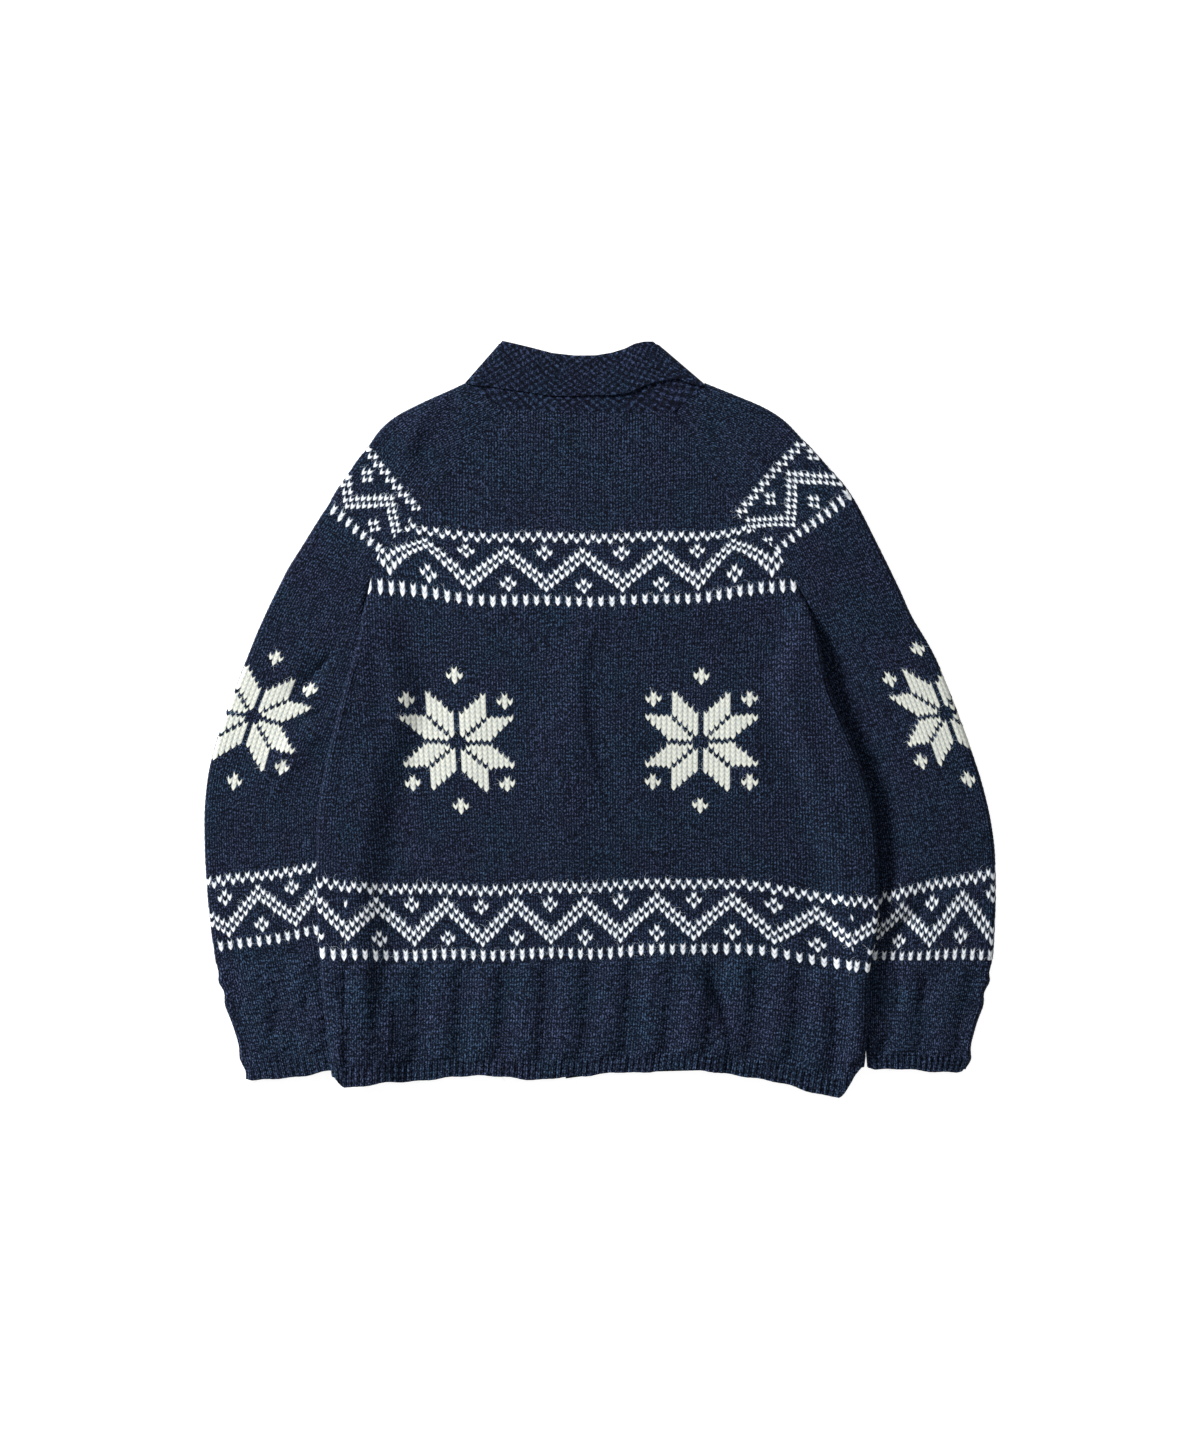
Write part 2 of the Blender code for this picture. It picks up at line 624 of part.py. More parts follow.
def cuff(side, name):
    """A cuff with cables on its upper side, and plain on the side that it lies on."""
    table = ARM_LEFT if side < 0 else ARM_RIGHT
    start = at_key(table, "cuff_top")
    rows = arm_rows(side, start, 1, WELT_COUNT, CUFF_COLUMNS)
    rows[0] = [(x, y - SEAM / 2, z) for x, y, z in rows[0]]
    middle = END_SEGMENTS + CUFF_COLUMNS // 2
    outermost = END_SEGMENTS + CUFF_COLUMNS + FOLD_SEGMENTS // 2
    grid = []
    for row in rows:
        walked = (Vector(rows[0][middle][:2]) - Vector(row[middle][:2])).length
        inner, outer = Vector(row[0][:2]), Vector(row[outermost][:2])
        line = []
        for x, y, z in row:
            share = (Vector((x, y)) - inner).dot(outer - inner) / (outer - inner).length_squared
            across = (share * CUFF_CABLES + CUFF_CABLE_START) * CABLE_PITCH
            relief = cable(across, CUFF_CABLE_LENGTH - walked) if z > UPPER_SIDE else 0.0
            line.append((x, y, z, relief))
        grid.append(line)
    return sheet(name, grid if side < 0 else grid[::-1], DARK_NAVY)


# ---------------------------------------------------------------- collar


def collar_profile():
    """(share of the stand's depth, share of the fall, turn of the roll) from seam to edge."""
    stand = [(f, 0.0, 0.0) for f in (0.0, 0.1, 0.2, 0.6, 1.0)]
    roll = [(1.0, 0.0, f) for f in (0.3, 0.7)]
    fall = [(1.0, f, 1.0) for f in (0.0, 0.4, 0.8, 1.0)]
    return stand + roll + fall


def neckline_front(side, f):
    """The front's neckline, 0 at the centre and 1 at the raglan seam."""
    top = (RAGLAN_LEFT if side < 0 else RAGLAN_RIGHT)[-1]
    ys = [top.front_y, YOKE[-1].front_mid, YOKE[-1].front_centre]
    x = front_edge(side) + (top.front_x - front_edge(side)) * f
    return x, along(ys, 1 - f)


def between(a, b, f):
    return a[0] + (b[0] - a[0]) * f, a[1] + (b[1] - a[1]) * f


def collar_side(side, centre_x):
    """Stations (seam, roll, fall, over) of one front half of the collar, from the centre front
    to the side fold. over is 0 on the lower layer and 1 on the upper one."""
    table = ROLL_FRONT_LEFT if side < 0 else ROLL_FRONT_RIGHT
    top = (RAGLAN_LEFT if side < 0 else RAGLAN_RIGHT)[-1]
    seams = [(centre_x, BAND_TOP)]
    seams += [neckline_front(side, f) for f in steps(0, 1, COLLAR_FRONT_COLUMNS)]
    seams.append(between((top.front_x, top.front_y), (top.outer_x, top.outer_y), 0.5))
    stations = []
    for i, seam in enumerate(seams):
        roll = table_row(table, i / (len(seams) - 1))
        stations.append((seam, (roll.x, roll.y), roll.fall, 0.0))
    seam, roll = NECK_FOLD_LEFT if side < 0 else NECK_FOLD_RIGHT
    return stations + [(seam, roll, table[-1].fall, over) for over in COLLAR_TURN]


def collar_back():
    """Stations of the back half, from side fold to side fold."""
    left, right, yoke = RAGLAN_LEFT[-1], RAGLAN_RIGHT[-1], YOKE[-1]
    ys = [left.back_y, yoke.y1, yoke.y2, yoke.y3, right.back_y]
    seams = [between((left.outer_x, left.outer_y), (left.back_x, left.back_y), 0.5)]
    for f in steps(0, 1, COLLAR_BACK_COLUMNS):
        seams.append((left.back_x + (right.back_x - left.back_x) * f, along(ys, f)))
    seams.append(between((right.back_x, right.back_y), (right.outer_x, right.outer_y), 0.5))
    stations = []
    for i, seam in enumerate(seams):
        roll = table_row(ROLL_BACK, i / (len(seams) - 1))
        stations.append((seam, (roll.x, roll.y), roll.fall, 1.0))
    return stations


def collar_point(station, part):
    """A point of the collar's middle surface. The stand starts level with the neckline's wall
    and climbs onto the fall where the fall lies under it."""
    (seam_x, seam_y), (roll_x, roll_y), fall, over = station
    depth, drop, turn = part
    seam, roll = Vector((seam_x, seam_y, 0)), Vector((roll_x, roll_y, 0))
    up = (roll - seam).normalized()
    outward = Vector((0, 0, 0))
    if 0.0 < over < 1.0:
        outward = Vector((-up.y, up.x, 0)) * (1 if seam.x < 0 else -1)
    normal = outward * math.sin(math.pi * over) - Vector((0, 0, math.cos(math.pi * over)))
    climb = LAP * ease(depth / COLLAR_CLIMB)
    high, low = TOP + CLOTH / 2, CLOTH / 2 + climb
    radius = (high - low) / 2
    reach = radius + CLOTH / 2 + climb
    point = (seam + up * COLLAR_START).lerp(roll, depth) - outward * reach
    point += Vector((0, 0, (high + low) / 2)) + normal * radius
    roll_radius = LAP / 2
    point += up * roll_radius * math.sin(math.pi * turn)
    point += normal * roll_radius * (1 - math.cos(math.pi * turn))
    return point - up * fall * drop


def collar():
    """Stand and fall as one folded sheet round the neck, open at the centre front."""
    left = collar_side(-1, ROLL_FRONT_LEFT[0].x)
    right = collar_side(1, ROLL_FRONT_RIGHT[0].x)
    stations = left + collar_back() + right[::-1]
    rows = [
        [(*collar_point(station, part), 0.0) for station in stations] for part in collar_profile()
    ]
    return sheet("collar", rows, DARK_NAVY, side=0.0)


def clear_scene():
    for obj in list(bpy.data.objects):
        bpy.data.objects.remove(obj, do_unlink=True)


def main():
    clear_scene()
    collection = bpy.data.collections.new(OBJECT)
    bpy.context.scene.collection.children.link(collection)
    back()
    back_welt()
    for side, word in ((-1, "left"), (1, "right")):
        front(side, word + "_front")
        front_welt(side, word + "_front_welt")
        sleeve(side, word + "_sleeve")
        cuff(side, word + "_cuff")
    front_band("left_front_band", LEFT_BAND_HEM, CLOTH)
    front_band("right_front_band", RIGHT_BAND_HEM, CLOTH + LAP)
    collar()


main()
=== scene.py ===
"""Looks of the nordic cardigan: a worsted wool cardigan laid flat with its back up.

Every piece is a thin knitted shell on the form of its solid. A piece is laid on a grid whose
lines follow the knitting, four columns and one to three rows to a stitch, and each row line
dips in the middle of a stitch, so that the faces form the two legs of a knitted V. The collar
has two of each and straight rows. The white yarn is given stitch by stitch from a chart. Lengths
are in mm until a mesh is made, X runs along the shoulders, Y from the hem to the collar and Z up
from the surface that the cardigan lies on.
"""

import math
from collections import namedtuple
from functools import partial

import bmesh
import bpy
import numpy as np
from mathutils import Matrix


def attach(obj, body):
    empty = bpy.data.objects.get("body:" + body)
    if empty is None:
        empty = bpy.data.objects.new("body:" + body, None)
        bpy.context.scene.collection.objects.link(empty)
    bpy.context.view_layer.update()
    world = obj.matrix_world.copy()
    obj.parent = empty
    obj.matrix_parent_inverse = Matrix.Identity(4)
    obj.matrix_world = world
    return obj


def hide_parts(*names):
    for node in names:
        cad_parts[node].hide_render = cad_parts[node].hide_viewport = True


bl_info = {
    "name": "Nordic cardigan",
    "version": (1, 0, 0),
    "blender": (4, 5, 0),
    "location": "View3D > Sidebar > Cardigan",
    "description": "Knits the pieces of a nordic cardigan that lies flat",
    "category": "Object",
}

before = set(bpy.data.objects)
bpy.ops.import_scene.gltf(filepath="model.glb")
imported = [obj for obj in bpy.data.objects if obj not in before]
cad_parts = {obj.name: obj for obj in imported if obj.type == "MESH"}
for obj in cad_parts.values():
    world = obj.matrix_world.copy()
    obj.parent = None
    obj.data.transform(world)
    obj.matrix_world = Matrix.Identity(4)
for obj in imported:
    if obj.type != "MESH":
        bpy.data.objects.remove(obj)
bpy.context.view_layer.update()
BODY_NAME = "root"
MM = 0.001

# Sizes in mm. Most are shared with the solids.
CLOTH = 2.8
LOFT = 3.4  # hollow between the two layers of a tube that lies flat
SEAM = 0.3
RAGLAN_EASE = -0.15
SIDE_LAP = 0.1  # how far the back and a front run over their common seam
LAP = CLOTH + SEAM
FOLD_IN = LOFT / 2
FOLD_OUT = FOLD_IN + CLOTH
FOLD_MID = FOLD_IN + CLOTH / 2
QUARTER = FOLD_MID * math.pi / 2
TOP = FOLD_OUT + FOLD_IN
LEFT_RAMP = 38.0  # width over which the body settles beside its side folds
RIGHT_RAMP = 26.0
ARMPIT_PUCKER = 30.0  # height above the armpit over which the side fold opens
BAND_LEFT = -32.0
BAND_RIGHT = 13.0
BAND_TOP = 211.0
LEFT_BAND_HEM = (-333.5, -327.5)
RIGHT_BAND_HEM = (-327.5, -327.5)
BAND_CLIMB = 20.0  # width over which the right front climbs over the left band
BAND_FLAT = 4.0
CABLE_PITCH = 38.0
ROPE_WIDTH = 26.6
RIB_HEIGHT = 17.0
CUFF_CABLE_LENGTH, CUFF_LENGTH = 90.0, 110.0
ROPE_TURN = 24.0  # length of a full turn of a cable's two strands
ROPE_SWELL, ROPE_STRANDS = 0.34, 0.62  # shares of a cable's height
RIB_PITCH = 6.0
BACK_CABLES = 12
CUFF_CABLE_SHARE = 0.7  # height of a cuff's cables to that of the welt's
COLLAR_CLIMB = 0.2  # share of the stand over which it climbs over the neck seam
NECK_TUCK = 2.5
PRESSED, PRESSED_FROM = 1.3, 10.0  # how far the fall's edge lies pressed on the back, left of x
EDGE_BROAD, EDGE_FINE = 0.9, 0.5  # the waves of a knitted edge
EDGE_FADE = 26.0  # how far up from the edge they die out
HEM_DIP, HEM_DIP_WIDTH, HEM_DIP_AT = 4.5, 28.0, -52.0  # the sag of the back's hem
HEM_CORNER, CORNER_ACROSS, CORNER_UP = 3.0, 5, 9  # the rounding of a cuff's corners
CUFF_BUMP, CUFF_BUMP_REACH = 1.25, 12  # the cables seen from the side at a cuff's outer fold
NECK_SINK, NECK_SINK_END = 0.8, 0.04  # a sleeve lies lower at the neck, over a share of its seam

# Rows of the body below the armpits. The hem is drawn a little finer than in the solids.
BodyRow = namedtuple(
    "BodyRow",
    "name fold_l y_fold_l seam_l y0 y1 y2 y3 y4 seam_r y_fold_r fold_r "
    "front_l front_r lift_l tuck_l lift_r tuck_r",
)
BODY = [
    BodyRow("hem", -248, -330, -237, -340, -331.5, -329, -326.5, -351, 221, -322, 245,
            -330, -328, 13.0, 38, 3.0, 4),
    BodyRow("rib", -255, -279, -237, -283, -279, -279, -275, -290, 230, -284, 249.5,
            -279, -280, 13.0, 38, 7.5, 6),
    BodyRow("welt_top", -260, -223, -236, -226, -226, -224, -220, -235, 234, -236, 250.5,
            -224, -224, 12.6, 36, 11.8, 12),
    BodyRow("low_band", -263, -148, -237, -152, -155, -152, -150, -166, 234, -169, 259,
            -152, -152, 10.2, 33, 11.8, 27),
    BodyRow("waist", -259, -65, -241, -65, -66, -65, -65, -66, 233, -66, 250,
            -65, -65, 9.6, 43, 12.0, 41),
    BodyRow("chest", -238, 28, -227, 28, 25, 26, 26, 27, 206, 27, 214,
            26, 26, 9.6, 43, 12.0, 35),
    BodyRow("tuck", -224, 74, -219, 74, 66, 65, 67, 75, 198, 75, 203,
            68, 68, 9.8, 14, 10.5, 14),
    BodyRow("armpit_low", -221, 98, -220, 98, 87, 86, 89, 98, 195.5, 98, 196.5,
            92, 92, 6.0, 8, 6.0, 8),
    BodyRow("armpit", -218, 114, -218, 114, 103, 102, 105, 115, 190, 115, 190,
            108, 108, 0.0, 6, 0.0, 6),
]
Raglan = namedtuple("Raglan", "name back_x back_y front_x front_y outer_x outer_y")
RAGLAN_LEFT = [
    Raglan("armpit", -218, 114, -218, 114, -291, 140),
    Raglan("band_low", -205, 157, -203, 150, -256, 196),
    Raglan("band_top", -187, 174, -183, 168, -240, 222),
    Raglan("shoulder", -169, 195, -166, 187, -218, 252),
    Raglan("yoke", -137, 234, -130, 226, -191, 282),
    Raglan("neck", -89, 290, -93, 268, -124.5, 314.3),
]
RAGLAN_RIGHT = [
    Raglan("armpit", 190, 115, 190, 115, 270, 140),
    Raglan("band_low", 166, 155, 165, 150, 235.5, 207),
    Raglan("band_top", 146, 173, 145, 168, 209.5, 239),
    Raglan("shoulder", 128, 192, 128, 186, 189, 261),
    Raglan("yoke", 103, 233, 106, 226, 159, 287.5),
    Raglan("neck", 70, 288, 74, 267, 97.5, 314),
]
YokeRow = namedtuple("YokeRow", "name y1 y2 y3 front_mid front_centre")
YOKE = [
    YokeRow("armpit", 103, 102, 105, 110, 108),
    YokeRow("band_low", 139, 136, 138, 144, 140),
    YokeRow("band_top", 169, 168, 169, 163, 158),
    YokeRow("shoulder", 191, 190, 191, 180, 176),
    YokeRow("yoke", 229, 227, 228, 205, 196),
    YokeRow("neck", 288, 287, 287, 226, 211),
]
Section = namedtuple("Section", "name outer_x outer_y inner_x inner_y")
ARM_LEFT = [
    Section("armpit", -291, 140, -218, 114),
    Section("armpit_low", -300, 122, -219.2, 98),
    Section("tuck", -313, 95, -215, 74),
    Section("upper", -328, 59, -201, 28),
    Section("elbow", -356.5, -18, -219, -48),
    Section("forearm", -367.4, -76, -232, -94),
    Section("low_band", -366, -152, -237, -132),
    Section("cuff_top", -357, -228, -232, -207),
    Section("cuff_mid", -342, -285, -224, -268),
    Section("cuff_hem", -328, -337, -216, -322),
]
ARM_RIGHT = [
    Section("armpit", 270, 140, 190, 115),
    Section("armpit_low", 279, 121, 194.8, 98),
    Section("tuck", 291, 95, 195, 74),
    Section("upper", 314, 54, 186, 27),
    Section("elbow", 344.5, -25, 212, -51),
    Section("forearm", 362, -86, 229, -106),
    Section("low_band", 368, -141, 239, -169),
    Section("cuff_top", 365, -223, 244, -223),
    Section("cuff_mid", 351, -282, 245.8, -278),
    Section("cuff_hem", 341, -327, 249, -324),
]

# Soft folds of the upper layer: a bent line from start over middle to end, with a width and a
# rise. steep is the width of the side that lies to the left on the way from start to end. The
# broad folds are in the solids too and the fine creases are only here.
Fold = namedtuple("Fold", "name start middle end width rise steep", defaults=(None,))
BACK_FOLDS = [
    Fold("bulge left of centre", (-26, 34), (-33, -46), (-23, -140), 24, 4.5),
    Fold("bulge right of centre", (8, 30), (26, -27), (64, -139), 18, 2.6),
    Fold("welt bulge", (44, -205), (84, -262), (92, -326), 20, 6.0),
    Fold("welt crease", (68, -222), (108, -252), (122, -318), 9, -2.4),
    Fold("welt crease lip", (60, -214), (102, -252), (115, -318), 12, 4.0, 3.5),
    Fold("left trough", (-211, 60), (-199, -40), (-182, -140), 13, -1.0),
    Fold("yoke hollow", (-131, 228), (-134, 205), (-120, 186), 14, -1.8),
    Fold("centre crease", (2, 101), (-18, 26), (6, -92), 16, 2.6, 6),
    Fold("centre crease end", (6, -92), (18, -118), (36, -138), 12, 2.0, 5),
    Fold("left edge ridge", (-226, 81), (-240, 18), (-250, -50), 8, 2.0),
    Fold("left trough top", (-211, 90), (-205, 40), (-198, -12), 9, -2.4),
    Fold("right edge roll", (202, 70), (226, -30), (244, -150), 12, 3.0),
    Fold("right edge trough", (196, 60), (206, -10), (214, -80), 10, -1.2),
    Fold("band hollow", (-96, 96), (-60, 82), (-20, 88), 16, -1.0),
    Fold("right waist roll", (112, 20), (140, -30), (150, -96), 22, 1.6),
    Fold("left waist roll", (-130, 60), (-120, 0), (-128, -80), 26, 1.4),
    Fold("neck hollow", (-40, 270), (0, 262), (40, 272), 12, -1.2),
    Fold("welt left crease", (-197, -256), (-196, -288), (-199, -312), 9, 2.8, 3),
    Fold("welt edge crease", (-232, -262), (-238, -296), (-237, -330), 6, 2.8, 3),
    Fold("welt top pinch", (66, -220), (92, -238), (106, -252), 5, -2.0),
    Fold("raglan dip", (68, 290), (80, 276), (93, 260), 2.6, -2.6),
]
LEFT_SLEEVE_FOLDS = [
    Fold("shoulder ridge", (-163, 284), (-175, 261), (-181, 235), 9, 3.2),
    Fold("elbow crease", (-255, 60), (-270, 40), (-290, 22), 9, -2.0),
    Fold("elbow roll", (-268, -12), (-290, -35), (-308, -66), 13, 3.5),
    Fold("upper crease", (-250, 66), (-262, 46), (-284, 27), 4, -1.8),
    Fold("inner crease", (-250, 18), (-262, 6), (-276, 0), 5, -1.6),
    Fold("forearm crease", (-283, -26), (-296, -44), (-309, -64), 5, -1.8),
    Fold("band crease", (-294, -104), (-280, -107), (-262, -108), 5, -1.8),
    Fold("cuff crease", (-272, -253), (-273, -264), (-270, -276), 5, -3.2),
    Fold("cuff outer crease", (-302, -272), (-303, -286), (-301, -300), 6, -3.2),
]
RIGHT_SLEEVE_FOLDS = [
    Fold("shoulder bulge", (132, 262), (146, 242), (158, 222), 13, 3.0),
    Fold("wrist crease", (262, -226), (286, -192), (312, -158), 10, -2.2),
    Fold("wrist roll", (250, -190), (272, -172), (290, -142), 12, 3.5),
    Fold("shoulder hollow", (106, 276), (112, 266), (122, 250), 7, -2.0),
    Fold("wrist fine crease", (258, -220), (276, -196), (297, -180), 4, -2.0),
    Fold("elbow hollow", (262, 20), (280, -10), (292, -50), 16, -1.6),
    Fold("cuff valley", (278, -236), (279, -256), (276, -272), 5, -3.2),
    Fold("cuff hollow", (300, -240), (301, -256), (298, -270), 6, -3.2),
    Fold("tuck hollow", (208, 66), (252, -40), (268, -168), 22, -5.2),
    Fold("armpit hollow", (200, 98), (214, 62), (234, 18), 17, -3.0),
    Fold("cuff low crease", (272, -292), (262, -306), (262, -322), 6, -3.0),
    Fold("raglan dip", (68, 290), (80, 276), (93, 260), 2.6, -2.6),
]
FOLD_ENDS = 0.35  # share of a fold's rise that is left at its ends

Roll = namedtuple("Roll", "name x y fall")
ROLL_FRONT_LEFT = [
    Roll("centre_front", -11.5, 258, 32),
    Roll("front", -50, 281, 31),
    Roll("side_front", -81, 324, 26),
    Roll("side", -94, 350, 48),
]
ROLL_BACK = [
    Roll("side_left", -91, 351, 42),
    Roll("left", -71, 346.5, 40),
    Roll("centre_left", -38, 338.5, 37),
    Roll("centre", -4, 337.5, 35),
    Roll("centre_right", 20, 342.5, 39),
    Roll("right", 36, 349.5, 37),
    Roll("side_right", 50, 350.5, 39),
]
ROLL_FRONT_RIGHT = [
    Roll("centre_front", -8, 258, 32),
    Roll("front", 20, 281, 31),
    Roll("side_front", 38, 324, 26),
    Roll("side", 52, 349.5, 58),
]
NECK_FOLD_LEFT = ((-130.5, 310.5), (-94.5, 351.3))
NECK_FOLD_RIGHT = ((101.5, 310.5), (55.0, 350.3))

# The knitting. Row 0 is the peak row of the yoke's zigzag and column 0 its middle peak.
QUARTERS = 4  # grid columns of a stitch
PER_ROW = 2  # grid rows of a stitch
V_DIP = 0.72  # how far a row line dips in the middle of a stitch, in rows
ROW_HEIGHTS = ((-31, 288.0), (0, 159.5), (12, 109.6), (76, -164.8), (90, -226.6), (114, -332.0))
LOW_BAND_ROW = 76  # peak row of the body's lower band
PEAK_COLUMNS = (-56, 56)
YOKE_PEAKS = (-311.0, -237.0, -163.1, -87.6, -16.7, 55.8, 124.0, 192.0, 262.0)
LOW_PEAKS = (-276.0, -207.5, -143.2, -78.1, -14.0, 53.0, 122.8, 200.9, 279.0)
BAND_REPEAT = 14
NAVY_YARN, WHITE_YARN, CREAM_YARN = 0.0, 1.0, 2.0
STAR_REACH = 5
STAR_DIAMONDS = ((0, 14), (0, -14), (9, 9), (-9, 9), (9, -9), (-9, -9))
BACK_STARS = ((-24, 42), (22, 42))
SLEEVE_LOW_ROW = 93
SLEEVE_ROWS = ((0.4, -2.5), (0.78, 11.5), (5 / 3, 90.5))
HEM_TURN = 10  # grid rows that are seen of the inner side at an open edge
FRONT_STITCH, WELT_STITCH_WIDTH = 4.9, 4.75  # widths of a stitch of the fronts and their welts
YOKE_LEAN = 1.9  # mm that the stitches of the yoke's band lean to the right
WANDER_WIDE = 0.22  # rows
PULL_LEFT, PULL_RIGHT = 2.8, 1.9  # rows that the yoke's band is drawn up beside the seams
WELT_STITCH = 0.7  # height of a stitch in the welts and cuffs to that of the others
WELT_STITCHES = 96  # of the back
CUFF_REACH, CUFF_ROWS = 29, 26  # stitches to each side of the outer fold, and rows
BAND_STITCHES, BAND_ROWS = 9, 126
COLLAR_STITCHES, COLLAR_ROWS, STAND_ROWS, ROLL_ROWS = 110, 27, 14.0, 1.4
SETTLE = 2.5  # mm from a side edge over which the relief dies out
CORNER = 72  # a bend of more degrees than this is an edge of the cloth
OPEN_ROW = 0.25  # a row with a smaller share of open cells takes its normals from the next row
SEAM_EASE = 2.0  # mm over which the relief dies out at a cross seam
BODY_LENGTH, ARM_LENGTH = 424.0, 495.0  # mm of cloth from the hem to the armpit
SLIVER = 0.06  # faces of less than half this area, in square mm, are left out
SKIRT = 2.5  # depth of the cut edge that a shell shows at a seam
WELT_TOP = 0.25  # place of the welt's top row among the body's rows
CUFF_TOP = 1 + 7 / 9  # the same among the sleeve's
SURFACES = {}  # outer faces, normals and yarn of the pieces that are made, for the hairs
PALE_HAIRS = 30.0  # hairs on pale yarn for each one on navy
HAIR_WEIGHT = 700000.0  # sum of the faces' weights that carries the given number of hairs
HAIR_CELL = 1.2  # faces of less than this area, in square mm, carry no hair
HAIR_PARTS = 5
HAIR_LENGTHS, HAIR_HEIGHTS, HAIR_BEND = (2.5, 7), (0.3, 1.1), 0.2  # mm, mm and radians
KNIT = "_knit"  # a piece is named after the node that it stands for, with this added

# What each piece is knitted of, the size that it was cut to in metres and what it lies on.
Sheet = namedtuple("Sheet", "wool slot flat rests_on")
FLOOR = ("floor",)
SLEEVE = Sheet("navy_jacquard_wool", "sleeve_knit", (0.29, 0.60), FLOOR)
CUFF = Sheet("navy_cable_wool", "cable_knit", (0.29, 0.14), FLOOR)
BAND = Sheet("navy_moss_wool", "band_knit", (0.048, 0.56), FLOOR)
FRONT = Sheet("navy_jacquard_wool", "body_knit", (0.30, 0.56), FLOOR)
FRONT_WELT = Sheet("navy_cable_wool", "cable_knit", (0.30, 0.14), FLOOR)
SHEETS = {
    "left_sleeve": SLEEVE, "right_sleeve": SLEEVE, "left_cuff": CUFF, "right_cuff": CUFF,
    "left_front_band": BAND, "right_front_band": BAND._replace(rests_on=("left_front_band",)),
    "left_front": FRONT, "right_front": FRONT,
    "left_front_welt": FRONT_WELT, "right_front_welt": FRONT_WELT,
    "back": Sheet("navy_jacquard_wool", "body_knit", (0.50, 0.54), ("left_sleeve", "right_sleeve")),
    "back_welt": Sheet("navy_cable_wool", "cable_knit", (0.50, 0.14), ("left_cuff", "right_cuff")),
    "collar": Sheet("navy_moss_wool", "collar_knit", (0.44, 0.11), ("back",)),
}

# The yarns. Tones are painted shade, nearly black, between the stitches, the plain colour, and the
# light flecks together with the painted highlight on the stitches' crowns.
Tones = namedtuple("Tones", "deep field light pattern")
YARN_TONES = {
    "navy_jacquard_wool": Tones("#010208", "#0d1526", "#515e7e", "stocking"),
    "navy_cable_wool": Tones("#010208", "#10192b", "#596788", "stocking"),
    "navy_moss_wool": Tones("#010208", "#0e1527", "#475474", "moss"),
}
# The dark stop of the white and cream yarns is painted shade on the lines between stitches and at
# the joints of the rows.
WHITE_STOPS = ((0.0, "#2c3448"), (0.45, "#c9d0d8"), (0.8, "#f4f8fc"))
CREAM_STOPS = ((0.0, "#8d918e"), (0.45, "#cfd2c8"), (0.85, "#e6e8dd"))
PLUM_LEAN, TEAL_LEAN = (0.92, 0.90, 0.98), (0.72, 1.03, 1.02)
# Strength of the painted shade between a stitch's legs and of the painted highlight on their
# crowns, then of the heather's flecks, and the tone's offset.
LEG_SHADE, FLECK_CONTRAST, TONE_FLOOR = 0.46, 0.78, -0.18
ROW_END_SHADE = 0.35  # painted shade: the tone that is left where one stitch goes under the next
HEATHER_GRAIN, DYE_PATCH, YARN_TWIST, HAIR_PATCH = 1.6, 38, 0.9, 14  # mm
WOOL_IOR = 1.54
CAMERA_AT = (0.0, 0.0005, 3.72 + 0.009)  # metres, straight above the middle


# ---------------------------------------------------------------- shapes


def along(values, t):
    """Smooth value at t, 0 to 1, through evenly spaced key values."""
    t = np.asarray(t, float)
    keys = np.array([np.broadcast_to(value, t.shape) for value in values], float)
    keys = np.concatenate([[2 * keys[0] - keys[1]], keys, [2 * keys[-1] - keys[-2]]])
    place = np.clip(t, 0, 1) * (len(values) - 1)
    k = np.minimum(place.astype(int), len(values) - 2)
    f = place - k
    before, a, b, after = (np.take_along_axis(keys, (k + i)[None], 0)[0] for i in range(4))
    curve = 2 * a + (b - before) * f + (2 * before - 5 * a + 4 * b - after) * f**2
    return 0.5 * (curve + (3 * a - before - 3 * b + after) * f**3)


def column(table, field, t):
    return along([getattr(row, field) for row in table], t)


def ease(f):
    f = np.clip(f, 0.0, 1.0)
    return f * f * (3 - 2 * f)


def fold_rise(folds, x, y):
    """Height that the soft folds add at points."""
    total = np.zeros_like(x)
    for fold in folds:
        start, middle, end = (np.array(point, float) for point in fold[1:4])
        control = 2 * middle - (start + end) / 2
        near = np.full(x.shape, np.inf)
        place, left = np.zeros_like(x), np.zeros_like(x)
        steps = np.linspace(0, 1, 9)
        line = [(1 - t) ** 2 * start + 2 * t * (1 - t) * control + t * t * end for t in steps]
        for k, (a, b) in enumerate(zip(line, line[1:])):
            span = b - a
            f = np.clip(((x - a[0]) * span[0] + (y - a[1]) * span[1]) / span.dot(span), 0, 1)
            far = (x - a[0] - f * span[0]) ** 2 + (y - a[1] - f * span[1]) ** 2
            turn = span[0] * (y - a[1]) - span[1] * (x - a[0])
            left = np.where(far < near, turn, left)
            place = np.where(far < near, (k + f) / (len(line) - 1), place)
            near = np.minimum(near, far)
        taper = FOLD_ENDS + (1 - FOLD_ENDS) * np.sin(math.pi * place)
        width = np.where(left > 0, fold.steep or fold.width, fold.width)
        total += fold.rise * taper * np.exp(-near / width**2)
    return total


def pucker(y):
    """Angle of the side fold that is left at a raglan seam: a quarter turn at the armpit."""
    return math.pi / 2 * (1 - ease((y - RAGLAN_LEFT[0].back_y) / ARMPIT_PUCKER))


def round_fold(reach):
    """Outer face near a fold at a reach of cloth from its outermost line, up being positive."""
    angle = np.clip(reach / FOLD_MID, -math.pi / 2, math.pi / 2)
    inward = np.abs(reach) - QUARTER
    inward = np.where(np.abs(reach) < QUARTER, -FOLD_OUT * np.cos(angle), inward)
    return inward, FOLD_OUT * (1 + np.sin(angle))


